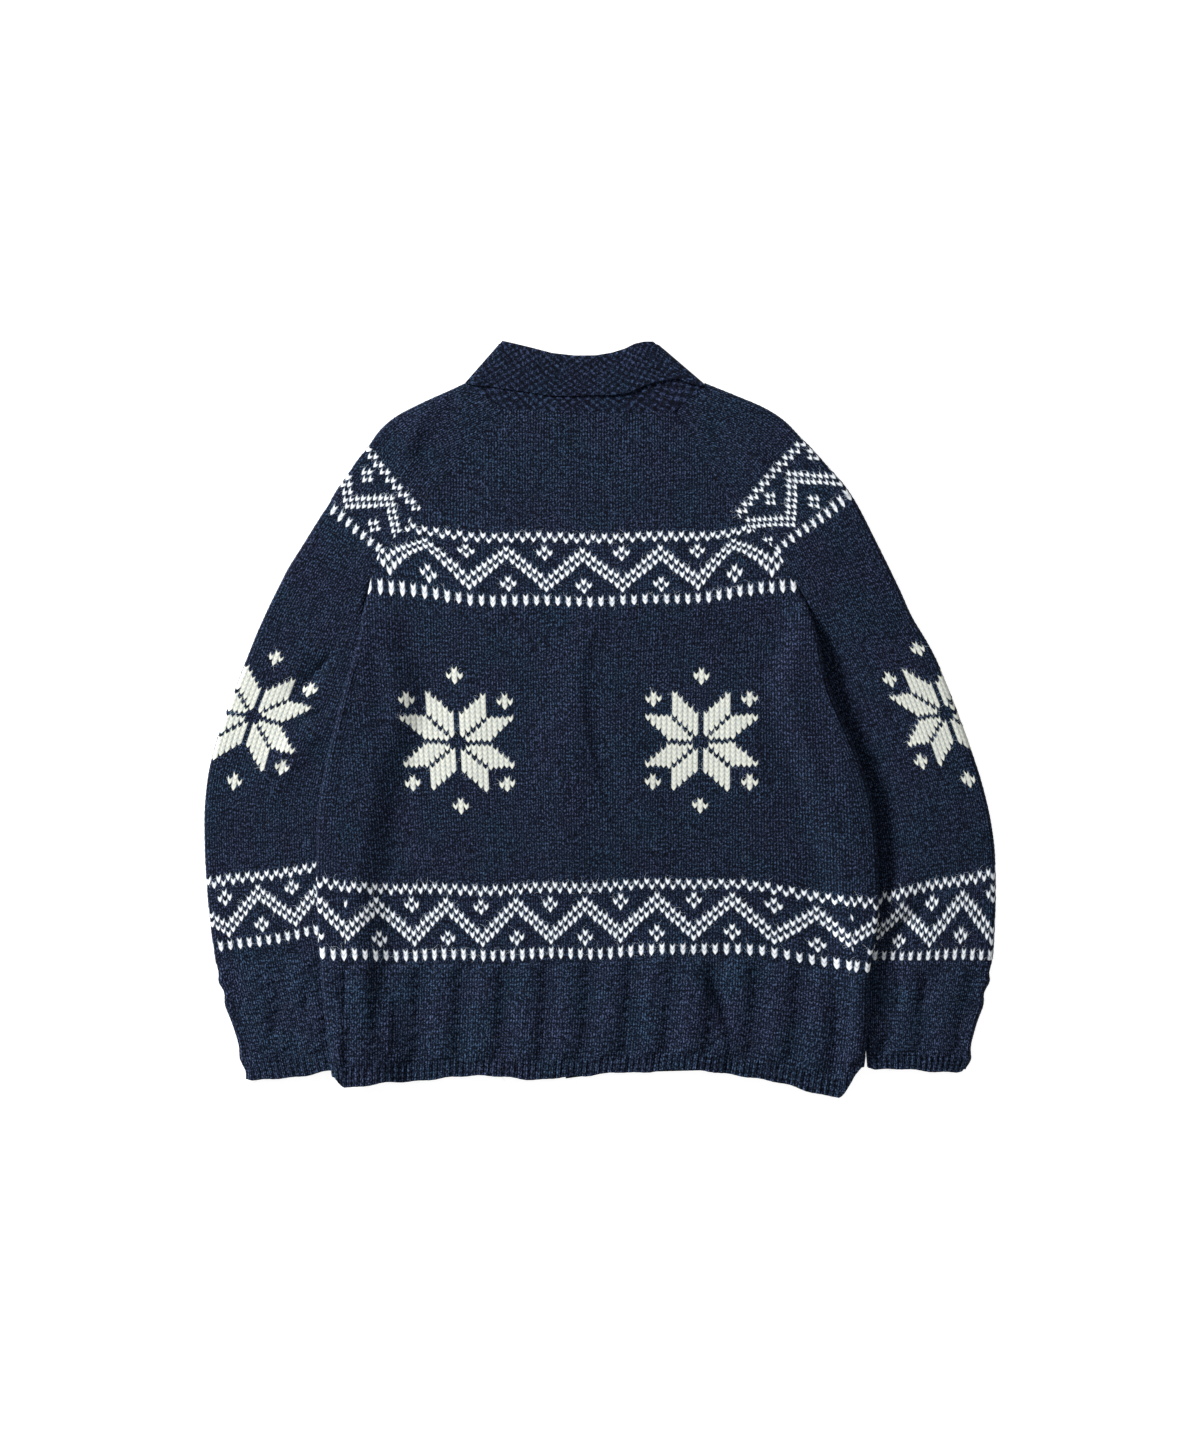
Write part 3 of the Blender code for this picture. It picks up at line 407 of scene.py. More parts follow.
def body_rows(u):
    """The body's rows at u: 0 at the hem, 1 at the armpits, 2 at the neck."""
    low, high = np.clip(u, 0, 1), np.clip(u - 1, 0, 1)
    yoke = u > 1
    row = {}
    for name in BodyRow._fields[1:]:
        row[name] = column(BODY, name, low)
    for side, table in (("l", RAGLAN_LEFT), ("r", RAGLAN_RIGHT)):
        x, y = column(table, "back_x", high), column(table, "back_y", high)
        row["fold_" + side] = np.where(yoke, x, row["fold_" + side])
        row["y_fold_" + side] = np.where(yoke, y, row["y_fold_" + side])
        row["seam_" + side] = np.where(yoke, x, row["seam_" + side])
    row["y0"] = np.where(yoke, row["y_fold_l"], row["y0"])
    row["y4"] = np.where(yoke, row["y_fold_r"], row["y4"])
    for name in ("y1", "y2", "y3"):
        row[name] = np.where(yoke, column(YOKE, name, high), row[name])
    row["turn"] = np.where(yoke, pucker(row["y_fold_l"]), math.pi / 2)
    return row


def bell(x, width, middle=0.0):
    """1 at the middle, dying out softly over about two widths."""
    return np.exp(-(((x - middle) / width) ** 2))


def hem_wave(x, down):
    """Small uneven waves of a knitted edge, that die out above it, and the back's sag."""
    broad = EDGE_BROAD * np.sin(x / 11.0 + 1.3 * np.sin(x / 37.0))
    fine = EDGE_FINE * np.sin(x / 4.6 + 0.8)
    return (broad + fine - HEM_DIP * bell(x, HEM_DIP_WIDTH, HEM_DIP_AT)) * bell(down, EDGE_FADE)


def body_lift(row, x):
    left = ease(1 - (x - row["fold_l"] - row["tuck_l"]) / LEFT_RAMP)
    right = ease(1 - (row["fold_r"] - row["tuck_r"] - x) / RIGHT_RAMP)
    return row["lift_l"] * left + row["lift_r"] * right


def back_face(s, u):
    """Outer face of the back. s is the place across the cloth, and is x where it lies flat."""
    row = body_rows(u)
    inset = RAGLAN_EASE + FOLD_OUT * np.sin(row["turn"])
    offset = QUARTER - FOLD_MID * row["turn"]
    lap = np.where(u > 1, RAGLAN_EASE, SIDE_LAP)
    start, end = row["seam_l"] - lap, row["seam_r"] + lap
    s = np.clip(s, start, end)
    spare = inset + offset - QUARTER
    ends = []
    for here in (start, end, s):
        x = here + spare * (1 - 2 * (here - row["fold_l"]) / (row["fold_r"] - row["fold_l"]))
        left, right = here - row["fold_l"] + offset, row["fold_r"] - here + offset
        inward, z_l = round_fold(np.minimum(left, QUARTER))
        x = np.where(left < QUARTER, row["fold_l"] + inset + inward, x)
        inward, z_r = round_fold(np.minimum(right, QUARTER))
        ends.append(np.where(right < QUARTER, row["fold_r"] - inset - inward, x))
    first, last, x = ends
    ys = [row[name] for name in ("y0", "y1", "y2", "y3", "y4")]
    y = along(ys, (x - first) / (last - first)) + hem_wave(x, u * BODY_LENGTH)
    z = np.minimum(z_l, z_r) + body_lift(row, x) + fold_rise(BACK_FOLDS, x, y)
    return np.stack([x, y, z], -1), np.minimum(s - start, end - s)


def front_edge(side):
    return BAND_LEFT - SEAM if side < 0 else BAND_RIGHT + 2 * SEAM


def front_face(side, reach, u):
    """Outer face of a front. reach is the cloth from the side fold, up over it being positive."""
    row = body_rows(u)
    end, table, corner = ("l", RAGLAN_LEFT, "y0") if side < 0 else ("r", RAGLAN_RIGHT, "y4")
    high = np.clip(u - 1, 0, 1)
    yoke = u > 1
    turn = row["turn"]
    fold = np.where(yoke, column(table, "front_x", high), row["fold_" + end])
    row["fold_" + end] = fold
    front_y = column(table, "front_y", high)
    seam_y = np.where(yoke, front_y, row[corner])
    y_fold = np.where(yoke, front_y, row["y_fold_" + end])
    centre_y = np.where(yoke, column(YOKE, "front_centre", high), row["front_" + end])
    middle_y = np.where(yoke, column(YOKE, "front_mid", high), (y_fold + centre_y) / 2)
    inset = RAGLAN_EASE + FOLD_OUT * np.sin(turn)
    seam_reach = side * (fold - row["seam_" + end]) + SIDE_LAP
    start = np.where(yoke, FOLD_MID * turn - QUARTER + RAGLAN_EASE, seam_reach)
    centre = fold - side * inset
    last = -QUARTER - side * (centre - front_edge(side))
    reach = np.clip(reach, last, start)
    inward, z = round_fold(reach)
    x = centre - side * inward
    y = along([y_fold, middle_y, centre_y], (x - fold) / (front_edge(side) - fold))
    wrapped = y_fold + (seam_y - y_fold) * ease(reach / np.maximum(start, 0.01))
    y = np.where(reach > 0, wrapped, y)
    z = z + body_lift(row, x)
    z = z + np.where(reach > QUARTER, fold_rise(BACK_FOLDS, x, y), 0)
    if side > 0:
        z = z + LAP * ease(1 - (x - BAND_RIGHT - BAND_FLAT) / BAND_CLIMB) * (reach < 0)
    return np.stack([x, y, z], -1), np.minimum(start - reach, reach - last)


def arm_ends(side, v):
    """Outer fold, upper seam, lower seam and turn of a sleeve at v: 0 at the neck, 1 at the
    armpit and 2 at the cuff's hem."""
    raglan, arm = (RAGLAN_LEFT, ARM_LEFT) if side < 0 else (RAGLAN_RIGHT, ARM_RIGHT)
    high, low = np.clip(1 - v, 0, 1), np.clip(v - 1, 0, 1)
    above = v < 1
    found = []
    for upper, lower in (("outer", "outer"), ("back", "inner"), ("front", "inner")):
        xy = [
            np.where(above, column(raglan, upper + axis, high), column(arm, lower + axis, low))
            for axis in ("_x", "_y")
        ]
        found.append(np.stack(xy, -1))
    turn = np.where(above, pucker(column(RAGLAN_LEFT, "back_y", high)), math.pi / 2)
    return found + [turn]


def cuff_corner(across, up):
    """How far a cuff's rounded corner is drawn up, at a distance across it and up from its hem."""
    return HEM_CORNER * np.exp(-((across / CORNER_ACROSS) ** 2) - (up / CORNER_UP) ** 2)


def arm_face(side, far, v):
    """Outer face of a sleeve or cuff. far is the cloth in from the outer fold line, over the
    upper side being positive."""
    outer, top, bottom, turn = arm_ends(side, v)
    inset = RAGLAN_EASE + FOLD_OUT * np.sin(turn)
    start = QUARTER - FOLD_MID * turn - RAGLAN_EASE
    over = (top - outer) / np.linalg.norm(top - outer, axis=-1, keepdims=True)
    under = (bottom - outer) / np.linalg.norm(bottom - outer, axis=-1, keepdims=True)
    middle = over + under
    middle = middle / np.linalg.norm(middle, axis=-1, keepdims=True)
    centre = outer + middle * FOLD_OUT
    angle = np.clip(far / FOLD_MID, -math.pi / 2, math.pi / 2)
    xy = centre - middle * (FOLD_OUT * np.cos(angle))[..., None]
    z = FOLD_OUT * (1 + np.sin(angle))
    clear = np.full(far.shape, np.inf)
    for sign, end, way in ((1, top, over), (-1, bottom, under)):
        flat_end = end - way * inset[..., None]
        width = np.linalg.norm(flat_end - centre, axis=-1)
        walked = np.minimum(sign * far - QUARTER, width + QUARTER - start)
        on_flat = sign * far > QUARTER
        f = np.clip(walked / width, 0, 1)[..., None]
        flat = centre + (flat_end - centre) * f
        inward, height = round_fold(np.minimum(QUARTER - (walked - width), QUARTER))
        rounded = end - way * (inset + inward)[..., None]
        past = walked > width
        xy = np.where(on_flat[..., None], np.where(past[..., None], rounded, flat), xy)
        side_z = np.where(past, height, TOP + CLOTH)
        z = np.where(on_flat, side_z if sign > 0 else TOP + CLOTH - side_z, z)
        clear = np.minimum(clear, width + 2 * QUARTER - start - sign * far)
    x, y = xy[..., 0], xy[..., 1]
    below = (2 - v) * ARM_LENGTH
    y = y + hem_wave(x, below) + cuff_corner(far, below)
    y = y + cuff_corner(np.maximum(clear, 0), below)
    cuff = ease((v - CUFF_TOP + 0.02) / 0.05) * bell(far, CUFF_BUMP_REACH)
    x = x - side * cuff * CUFF_BUMP * np.sin(y / 5.3 + 1.6 * np.sin(y / 13.0))
    folds = LEFT_SLEEVE_FOLDS if side < 0 else RIGHT_SLEEVE_FOLDS
    shown = ease((z - FOLD_OUT) / FOLD_OUT)
    z = z + shown * (fold_rise(folds, x, y) - NECK_SINK * ease(1 - v / NECK_SINK_END))
    return np.stack([x, y, z], -1), clear


def rows_of_body(r):
    """u of a knitted row, from its height at the middle of the back."""
    u = np.linspace(0, 2, 801)
    y = np.where(u <= 1, column(BODY, "y2", u), column(YOKE, "y2", u - 1))
    rows, heights = zip(*ROW_HEIGHTS)
    return np.interp(np.interp(r, rows, heights), y, u)


def rows_of_arm(side, r):
    """v of a knitted row of a sleeve, evenly spaced along the sleeve's middle."""
    v = np.linspace(0, 2, 801)
    outer, top, _, _ = arm_ends(side, v)
    middle = (outer + top) / 2
    walked = np.append(0, np.cumsum(np.linalg.norm(np.diff(middle, axis=0), axis=1)))
    keys, rows = (np.array(part) for part in zip(*SLEEVE_ROWS))
    marks = np.interp(keys, v, walked)
    pitch = (marks[-1] - marks[-2]) / (rows[-1] - rows[-2])
    high_pitch = (marks[1] - marks[0]) / (rows[1] - rows[0])
    marks = np.concatenate([[marks[0] - 40 * high_pitch], marks, [marks[-1] + 60 * pitch]])
    rows = np.concatenate([[rows[0] - 40], rows, [rows[-1] + 60]])
    return np.interp(np.interp(r, rows, marks), walked, v)


def body_columns(c, r):
    """Place across the back of a knitted column, through the peaks of the two bands."""
    first, last = PEAK_COLUMNS
    t = (c - first) / (last - first)
    f = np.clip(r / LOW_BAND_ROW, 0.0, 1.2)
    return along(YOKE_PEAKS, t) * (1 - f) + along(LOW_PEAKS, t) * f + YOKE_LEAN * bell(r, 9, 13)


# ---------------------------------------------------------------- charts


def diamond(c, r):
    return (np.abs(c) + np.abs(r)) == 1


def band_chart(c, r):
    """Lice, zigzag with diamonds, and ticks. Row 0 is the zigzag's peak."""
    m = (c + BAND_REPEAT // 2) % BAND_REPEAT - BAND_REPEAT // 2
    a = np.abs(m)
    odd = c % 2 == 1
    white = ((r == -3) & ~odd) | ((r == -2) & odd) | (((r == 11) | (r == 12)) & odd)
    white |= (r == a) | (r == a + 2) | diamond(m, r - 8)
    return white | diamond(a - BAND_REPEAT // 2, r - 1)


def star_chart(c, r):
    """An eight-pointed star of eight leaves, with a small diamond past each second point."""
    low, high = np.minimum(np.abs(c), np.abs(r)), np.maximum(np.abs(c), np.abs(r))
    star = (low >= 1) & (low <= STAR_REACH) & (high > low) & (high <= low + STAR_REACH)
    for dc, dr in STAR_DIAMONDS:
        star |= diamond(c - dc, r - dr) | ((c == dc) & (r == dr))
    return star


def yarn_of(c, r, bands=(), stars=()):
    """Yarn of each face of a grid of stitches, from the charts."""
    middle_c = (c[:-1, :-1] + c[:-1, 1:]) / 2
    middle_r = (r[:-1, :-1] + r[1:, :-1]) / 2
    c, r = np.round(middle_c).astype(int), np.round(middle_r).astype(int)
    yarn = np.full(c.shape, NAVY_YARN)
    for row in bands:
        yarn = np.where(band_chart(c, r - row), WHITE_YARN, yarn)
    for column_at, row in stars:
        yarn = np.where(star_chart(c - column_at, r - row), CREAM_YARN, yarn)
    return yarn


# ---------------------------------------------------------------- knitting


def knit_lines(first, last, parts):
    return np.arange((last - first + 1) * parts + 1) / parts + first - 0.5


def knit_grid(columns, rows, per_row=PER_ROW):
    """Columns, rows and dipped rows of a knitted grid, in stitches."""
    c, r = np.meshgrid(knit_lines(*columns, QUARTERS), knit_lines(*rows, per_row))
    from_middle = np.abs(c - np.round(c))
    return c, r, r + V_DIP * (0.5 - 2 * from_middle)


def unevenness(c, r, phase):
    """Small wandering of hand-knitted rows, in rows."""
    wide = WANDER_WIDE * np.sin(0.31 * c + 1.4 * np.sin(0.17 * r + phase) + phase)
    fine = 0.1 * np.sin(1.7 * c + 0.9 * r + 2 * phase) + 0.08 * np.sin(3.1 * c - 1.3 * r)
    return wide + fine


def armpit_pull(c, r):
    """Rows by which the yoke band is drawn up beside the raglan seams."""
    weight = np.clip((10 - r) / 13, 0, 1) * np.clip((r + 14) / 9, 0, 1)
    return weight * (PULL_LEFT * bell(c, 7, -37) + PULL_RIGHT * bell(c, 6, 35))


def stitch_relief(c, r, height):
    """Two raised legs to a stitch, with the deeper valley between the stitches."""
    legs = np.abs(np.sin(2 * math.pi * c))
    between = np.abs(c - np.round(c)) * 2
    uneven = 1 + 0.25 * np.sin(2.3 * np.round(c) + 1.9 * np.round(r)) * np.sin(1.1 * np.round(r))
    middles = 0.6 + 0.4 * np.abs(np.sin(math.pi * (r - 0.5)))
    return height * uneven * (legs * middles - 0.4 * between * (1 - legs))


def beside_seam(place_at, seam, whole):
    """Share of the relief that is left near a cross seam, so that two pieces meet flush. place_at
    and seam are shares of a whole in mm."""
    return ease(np.abs(place_at - seam) * whole / SEAM_EASE)


def moss_relief(c, r):
    """Moss stitch: bumps that change places from row to row."""
    return sizes().moss_height / MM * np.cos(math.pi * c) * np.cos(math.pi * r)


def grid_normals(points):
    """Outward normals of a grid whose rows run down the cloth. Folded-up parts of the grid, at
    seams, take the normal of the nearest open part."""
    across, down = np.gradient(points, axis=1), np.gradient(points, axis=0)
    normal = np.cross(down, across)
    size = np.linalg.norm(normal, axis=-1)
    typical = np.median(size[size > 0.1])
    open_share = (size > 0.25 * typical).mean(axis=1, keepdims=True)
    size = np.where(open_share > OPEN_ROW, size, 0.0)
    for axis in (1, 0):
        for _ in range(2):
            good = size > 0.25 * typical
            index = np.where(good, np.indices(good.shape)[axis], 0)
            index = np.maximum.accumulate(index, axis=axis)
            normal = np.take_along_axis(normal, index[..., None], axis)
            size = np.take_along_axis(size, index, axis)
            normal, size = np.flip(normal, axis), np.flip(size, axis)
    return normal / np.maximum(size, 1e-9)[..., None]


def add_rim(points, normals, open_sides):
    """Adds the cut edge of the cloth all round, and its inner side at the open edges."""
    inner = points - normals * SKIRT
    for axis, sides in ((0, ("top", "bottom")), (1, ("left", "right"))):
        points, inner = np.moveaxis(points, axis, 0), np.moveaxis(inner, axis, 0)
        before, after = [inner[:1]], [inner[-1:]]
        if sides[0] in open_sides:
            before.insert(0, inner[HEM_TURN : HEM_TURN + 1])
        if sides[1] in open_sides:
            after.append(inner[-1 - HEM_TURN : -HEM_TURN])
        points = np.concatenate(before + [points] + after)
        inner = np.concatenate([inner[:1]] * len(before) + [inner] + [inner[-1:]] * len(after))
        points, inner = np.moveaxis(points, 0, axis), np.moveaxis(inner, 0, axis)
    return points


def pad_like(values, shape, offsets, step):
    """Carries a grid of numbers on over the rim."""
    top, left = offsets
    bottom, right = shape[0] - values.shape[0] - top, shape[1] - values.shape[1] - left
    grown = np.pad(values, ((top, bottom), (left, right)), mode="edge")
    if step:
        grown[:top] -= step
        grown[shape[0] - bottom :] += step
    return grown


def mesh_of(name, points, faces, uvs, yarn, finish):
    """A smooth mesh from a grid's points in mm, its faces and its corner UV maps."""
    mesh = bpy.data.meshes.new(name)
    mesh.from_pydata((points.reshape(-1, 3) * MM).tolist(), [], faces.tolist())
    for key, values in uvs.items():
        layer = mesh.uv_layers.new(name=key)
        layer.data.foreach_set("uv", values.reshape(-1, 2)[faces].astype(np.float32).ravel())
    layer = mesh.attributes.new("yarn", "FLOAT", "FACE")
    layer.data.foreach_set("value", yarn.astype(np.float32).ravel())
    bm = bmesh.new()
    bm.from_mesh(mesh)
    bmesh.ops.remove_doubles(bm, verts=bm.verts, dist=2e-6)
    bmesh.ops.dissolve_degenerate(bm, edges=bm.edges, dist=1e-6)
    bm.to_mesh(mesh)
    bm.free()
    mesh.shade_smooth()
    mesh.set_sharp_from_angle(angle=math.radians(CORNER))
    mesh.materials.append(finish)
    obj = bpy.data.objects.new(name, mesh)
    bpy.context.scene.collection.objects.link(obj)
    return obj


def quads(shape):
    index = np.arange(shape[0] * shape[1]).reshape(shape)
    corners = [index[:-1, :-1], index[1:, :-1], index[1:, 1:], index[:-1, 1:]]
    return np.stack(corners, -1).reshape(-1, 4)


def knit(name, base, clear, c, r, relief, yarn, finish, open_sides=(), seam_dip=0.15):
    """Lays one knitted piece. base is its plain outer face, clear the distance from its side
    edges, c and r its stitches, yarn one number for each face."""
    normals = grid_normals(base)
    settle = np.clip(clear / SETTLE, 0, 1)
    raised = base + normals * (relief * settle)[..., None]
    raised[..., 2] -= seam_dip * (1 - settle) * np.sign(normals[..., 2])
    floor = normals[..., 2] < -0.3
    raised[..., 2] = np.where(floor, np.maximum(raised[..., 2], base[..., 2]), raised[..., 2])
    raised[..., 2] = np.maximum(raised[..., 2], 0.0)
    points = add_rim(raised, normals, open_sides)
    points[..., 2] = np.maximum(points[..., 2], 0.0)
    offsets = (1 + ("top" in open_sides), 1 + ("left" in open_sides))
    c, r = pad_like(c, points.shape, offsets, 0), pad_like(r, points.shape, offsets, 0.4)
    faces_yarn = pad_like(yarn, (points.shape[0] - 1, points.shape[1] - 1), offsets, 0)
    rows, columns = np.indices(points.shape[:2])
    bake = np.stack([columns / columns.max(), rows / rows.max()], -1)
    faces = quads(points.shape[:2])
    corners = points.reshape(-1, 3)[faces]
    size = np.cross(corners[:, 2] - corners[:, 0], corners[:, 3] - corners[:, 1])
    keep = np.linalg.norm(size, axis=1) > SLIVER
    uvs = {"stitch": np.stack([c, r], -1), "OFBake": 0.005 + 0.99 * bake}
    obj = mesh_of(name + KNIT, points, faces[keep], uvs, faces_yarn.ravel()[keep], finish)
    SURFACES[name] = (raised, normals, yarn)
    return obj


def hand_over(obj):
    """Hands a piece to the frame: attaches it to the body and hides the solid that it stands for.
    """
    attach(obj, BODY_NAME)
    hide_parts(obj.name.removesuffix(KNIT))


def knit_piece(name, base, clear, c, r, relief, yarn, open_sides=(), flip=False):
    """Knits a piece and hands it over. flip turns its grids, so that it looks outwards."""
    sheet = SHEETS[name]
    grids = [base, clear, c, r, relief, yarn]
    if flip:
        grids = [np.flip(grid, 1).copy() for grid in grids]
    obj = knit(name, *grids, wool(sheet.wool), open_sides)
    hand_over(obj)


def rope_relief(across, down, height):
    """A two-strand cable rope at a distance across its column and up its length."""
    share = (across / CABLE_PITCH) % 1.0
    x = (share - ROPE_WIDTH / CABLE_PITCH / 2) * CABLE_PITCH
    swing, strand = ROPE_WIDTH * 0.24, ROPE_WIDTH * 0.30
    angle = 2 * math.pi * down / ROPE_TURN
    found = np.zeros(np.broadcast(across, down).shape)
    for k in (0, 1):
        middle = swing * np.cos(angle + k * math.pi)
        crown = np.sqrt(np.clip(1 - ((x - middle) / strand) ** 2, 0, 1))
        found = np.maximum(found, crown * (0.74 + 0.26 * np.sin(angle + k * math.pi)))
    wave = np.cos(2 * math.pi * x / CABLE_PITCH)
    valley = ease((np.abs(x) - ROPE_WIDTH / 2 + 2) / 5)
    form = ROPE_SWELL * wave + ROPE_STRANDS * found * (1 - valley)
    return height * form * ease((down + 3) / 8)


def rib_relief(across, down, height):
    """The plain ribbed edge below the cables."""
    return height * np.cos(2 * math.pi * across / RIB_PITCH) * ease((1 - down) / 4)


def cabled(c, r, across, down, upper=1.0, share=1.0):
    """Relief of a welt: small stitches, cables and the ribbed edge. upper is 0 where no cable
    is and share is the cables' share of their full height."""
    relief = stitch_relief(c, r, sizes().stitch_height / MM * WELT_STITCH)
    relief = relief + upper * rope_relief(across, down, share * sizes().cable_height / MM)
    return relief + rib_relief(across, down, sizes().rib_height / MM)


def up_the_welt(u):
    """Distance up from the top of the ribbed edge, for the body's rows."""
    return np.interp(u, (0, 0.125, 0.25), (-RIB_HEIGHT, 53 - RIB_HEIGHT, 108 - RIB_HEIGHT))


# ---------------------------------------------------------------- materials


def linear(code):
    """An sRGB hex colour as linear numbers."""
    parts = [int(code[i : i + 2], 16) / 255 for i in (1, 3, 5)]
    return [p / 12.92 if p <= 0.04045 else ((p + 0.055) / 1.055) ** 2.4 for p in parts]


def set_inputs(tree, node, values):
    """Sets a node's inputs, by order or by name, to numbers or to other nodes' outputs."""
    for key, value in values.items() if isinstance(values, dict) else enumerate(values):
        if isinstance(value, bpy.types.NodeSocket):
            tree.links.new(value, node.inputs[key])
        else:
            node.inputs[key].default_value = value


def add_node(tree, kind, inputs=(), output=None, stops=(), **settings):
    """Adds a node with its settings, the stops of its colour ramp and its inputs. Gives back the
    named output, or else the first one that is in use."""
    node = tree.nodes.new("ShaderNode" + kind)
    for key, value in settings.items():
        setattr(node, key, value)
    if stops:
        elements = node.color_ramp.elements
        while len(elements) < len(stops):
            elements.new(0.5)
        for element, (place_at, colour) in zip(elements, stops):
            element.position = place_at
            element.color = (*colour, 1)
    set_inputs(tree, node, inputs)
    return node.outputs[output] if output else next(out for out in node.outputs if out.enabled)


def new_finish(name):
    """A new material, its node tree, its shader and the place on the object."""
    finish = bpy.data.materials.new(name)
    finish.use_nodes = True
    tree = finish.node_tree
    where = add_node(tree, "TexCoord", output="Object")
    return finish, tree, tree.nodes["Principled BSDF"], where


def wool(name):
    """Brushed worsted wool, hand-knitted: no gloss, a faint blue halo of loose fibre at grazing
    angles and a heathered colour. Each leg of a stitch has a painted highlight on its crown and
    painted shade, nearly black, where it goes under the next one. Each wool is made once."""
    if name in bpy.data.materials:
        return bpy.data.materials[name]
    tones = YARN_TONES[name]
    finish, tree, shader, where = new_finish(name)
    add = partial(add_node, tree)
    split = add("SeparateXYZ", [add("UVMap", uv_map="stitch")]).node.outputs
    waves = []
    for axis, turns, shift in (("X", 2.0, 0.0), ("X", 1.0, 0.0), ("X", 1.0, 0.5), ("Y", 1.0, 0.5)):
        at = add("Math", [split[axis], shift], operation="ADD")
        turned = add("Math", [at, math.pi * turns], operation="MULTIPLY")
        waves.append(add("Math", [turned], operation="SINE"))
    legs, between, bumps, rows = waves
    legs, between, crown_shade = (
        add("Math", [wave], operation="ABSOLUTE") for wave in (legs, between, rows)
    )
    # Painted shade at the joints of the rows, where one stitch goes under the next.
    ends = add("MapRange", {"Value": crown_shade, "To Min": ROW_END_SHADE, "To Max": 1.0})
    # The tone's relief: painted shade between the moss bumps or between a stitch's legs, with a
    # painted highlight on their tops.
    if tones.pattern == "moss":
        moss_bump_shade = add("Math", [bumps, rows], operation="MULTIPLY")
        legs = add("MapRange", {"Value": moss_bump_shade, "From Min": -0.8})
    else:
        legs = add("Math", [legs, ends], operation="MULTIPLY")
    # A white stitch is brightest in its middle, between lines of painted shade that part it from
    # its neighbours.
    parting_shade = add("Math", [between, 4.0], operation="POWER")
    pale_yarn_shade = add("Math", [parting_shade, -0.75, 1.0], operation="MULTIPLY_ADD")
    pale_yarn_shade = add("Math", [pale_yarn_shade, ends], operation="MULTIPLY")
    # Heather: pale and dark fibres spun together, specks a little over 1 mm long in the yarn.
    grain = {"Vector": where, "Scale": 1 / (HEATHER_GRAIN * MM), "Detail": 5.0, "Roughness": 0.68}
    heather = add("TexNoise", grain)
    fleck = add("MapRange", {"Value": heather, "From Min": 0.39, "From Max": 0.63})
    # Tone of the navy: the painted shade and highlight of the stitches, with the heather's flecks.
    tone = add("Math", [legs, LEG_SHADE, TONE_FLOOR], operation="MULTIPLY_ADD")
    tone = add("Math", [fleck, FLECK_CONTRAST, tone], operation="MULTIPLY_ADD")
    deep, field, light = (linear(code) for code in tones[:3])
    navy = add("ValToRGB", [tone], stops=((0.05, deep), (0.5, field), (1.0, light)))
    # Dye: patches as wide as a few fingers lean towards plum or towards teal.
    patches = add("TexNoise", {"Vector": where, "Scale": 1 / (DYE_PATCH * MM), "Detail": 4.0})
    lean = add("ValToRGB", [patches], stops=((0.34, PLUM_LEAN), (0.66, TEAL_LEAN)))
    layers = {0: 1.0, "A": navy, "B": lean}
    dyed = add("Mix", layers, data_type="RGBA", blend_type="MULTIPLY")
    white, cream = (
        add("ValToRGB", [pale_yarn_shade], stops=[(place_at, linear(code)) for place_at, code in stops])
        for stops in (WHITE_STOPS, CREAM_STOPS)
    )
    # The yarn of a face is 0 for navy, 1 for white and 2 for cream.
    yarn = add("Attribute", output="Fac", attribute_name="yarn")
    creamy = add("Math", [yarn, 1.0], operation="SUBTRACT", use_clamp=True)
    pale = add("Mix", {0: creamy, "A": white, "B": cream}, data_type="RGBA")
    worked = add("Mix", {0: yarn, "A": dyed, "B": pale}, data_type="RGBA")
    twist = add("TexNoise", {"Vector": where, "Scale": 1 / (YARN_TWIST * MM), "Detail": 2.0})
    set_inputs(tree, shader, {
        "Base Color": worked,
        "Normal": add("Bump", {"Height": twist, "Strength": 0.5, "Distance": 0.5 * MM}),
        "Roughness": 0.93,
        "IOR": WOOL_IOR,
        "Specular IOR Level": 0.12,
        "Sheen Weight": 0.04,
        "Sheen Roughness": 0.6,
        "Sheen Tint": (*linear("#3a4a78"), 1),
    })
    return finish


# ---------------------------------------------------------------- settings


def length_setting(name, description, default, highest, lowest=0.0, precision=4):
    return bpy.props.FloatProperty(
        name=name, description=description, default=default, min=lowest, max=highest,
        precision=precision, unit="LENGTH", subtype="DISTANCE",
    )


class CardiganSizes(bpy.types.PropertyGroup):
    """Sizes that can be changed without leaving the solids."""

    stitch_height: length_setting(
        "Stitch height", "How far the legs of a stitch stand up", 0.0006, 0.0015, precision=5
    )
    cable_height: length_setting(
        "Cable height", "How far a cable stands up from the purl ground", 0.0036, 0.005
    )
    rib_height: length_setting(
        "Rib height", "Half the height of the ribs at the hem and cuffs", 0.0008, 0.002
    )
    moss_height: length_setting(
        "Moss height", "How far the bumps of the moss stitch stand up", 0.0007, 0.002
    )
    fibre_count: bpy.props.IntProperty(
        name="Loose fibres", description="How densely hairs lie loose on the wool",
        default=7000, min=0, max=30000,
    )
    fibre_width: length_setting(
        "Fibre width", "Width of a loose hair, drawn as coarse as it shows", 0.00012, 0.001,
        0.00005, 5,
    )


class CardiganColours(bpy.types.PropertyGroup):
    """Colours of what isn't yarn of the knitted pieces."""

    fibre: bpy.props.FloatVectorProperty(
        name="Fibre", description="Colour of the loose hairs", size=3, subtype="COLOR",
        default=linear("#c3ccd6"), min=0.0, max=1.0,
    )
    floor: bpy.props.FloatVectorProperty(
        name="Floor", description="Colour of the surface that the cardigan lies on", size=3,
        subtype="COLOR", default=linear("#b4b4b4"), min=0.0, max=1.0,
    )


# ---------------------------------------------------------------- pieces


def sizes():
    return bpy.context.scene.cardigan_sizes


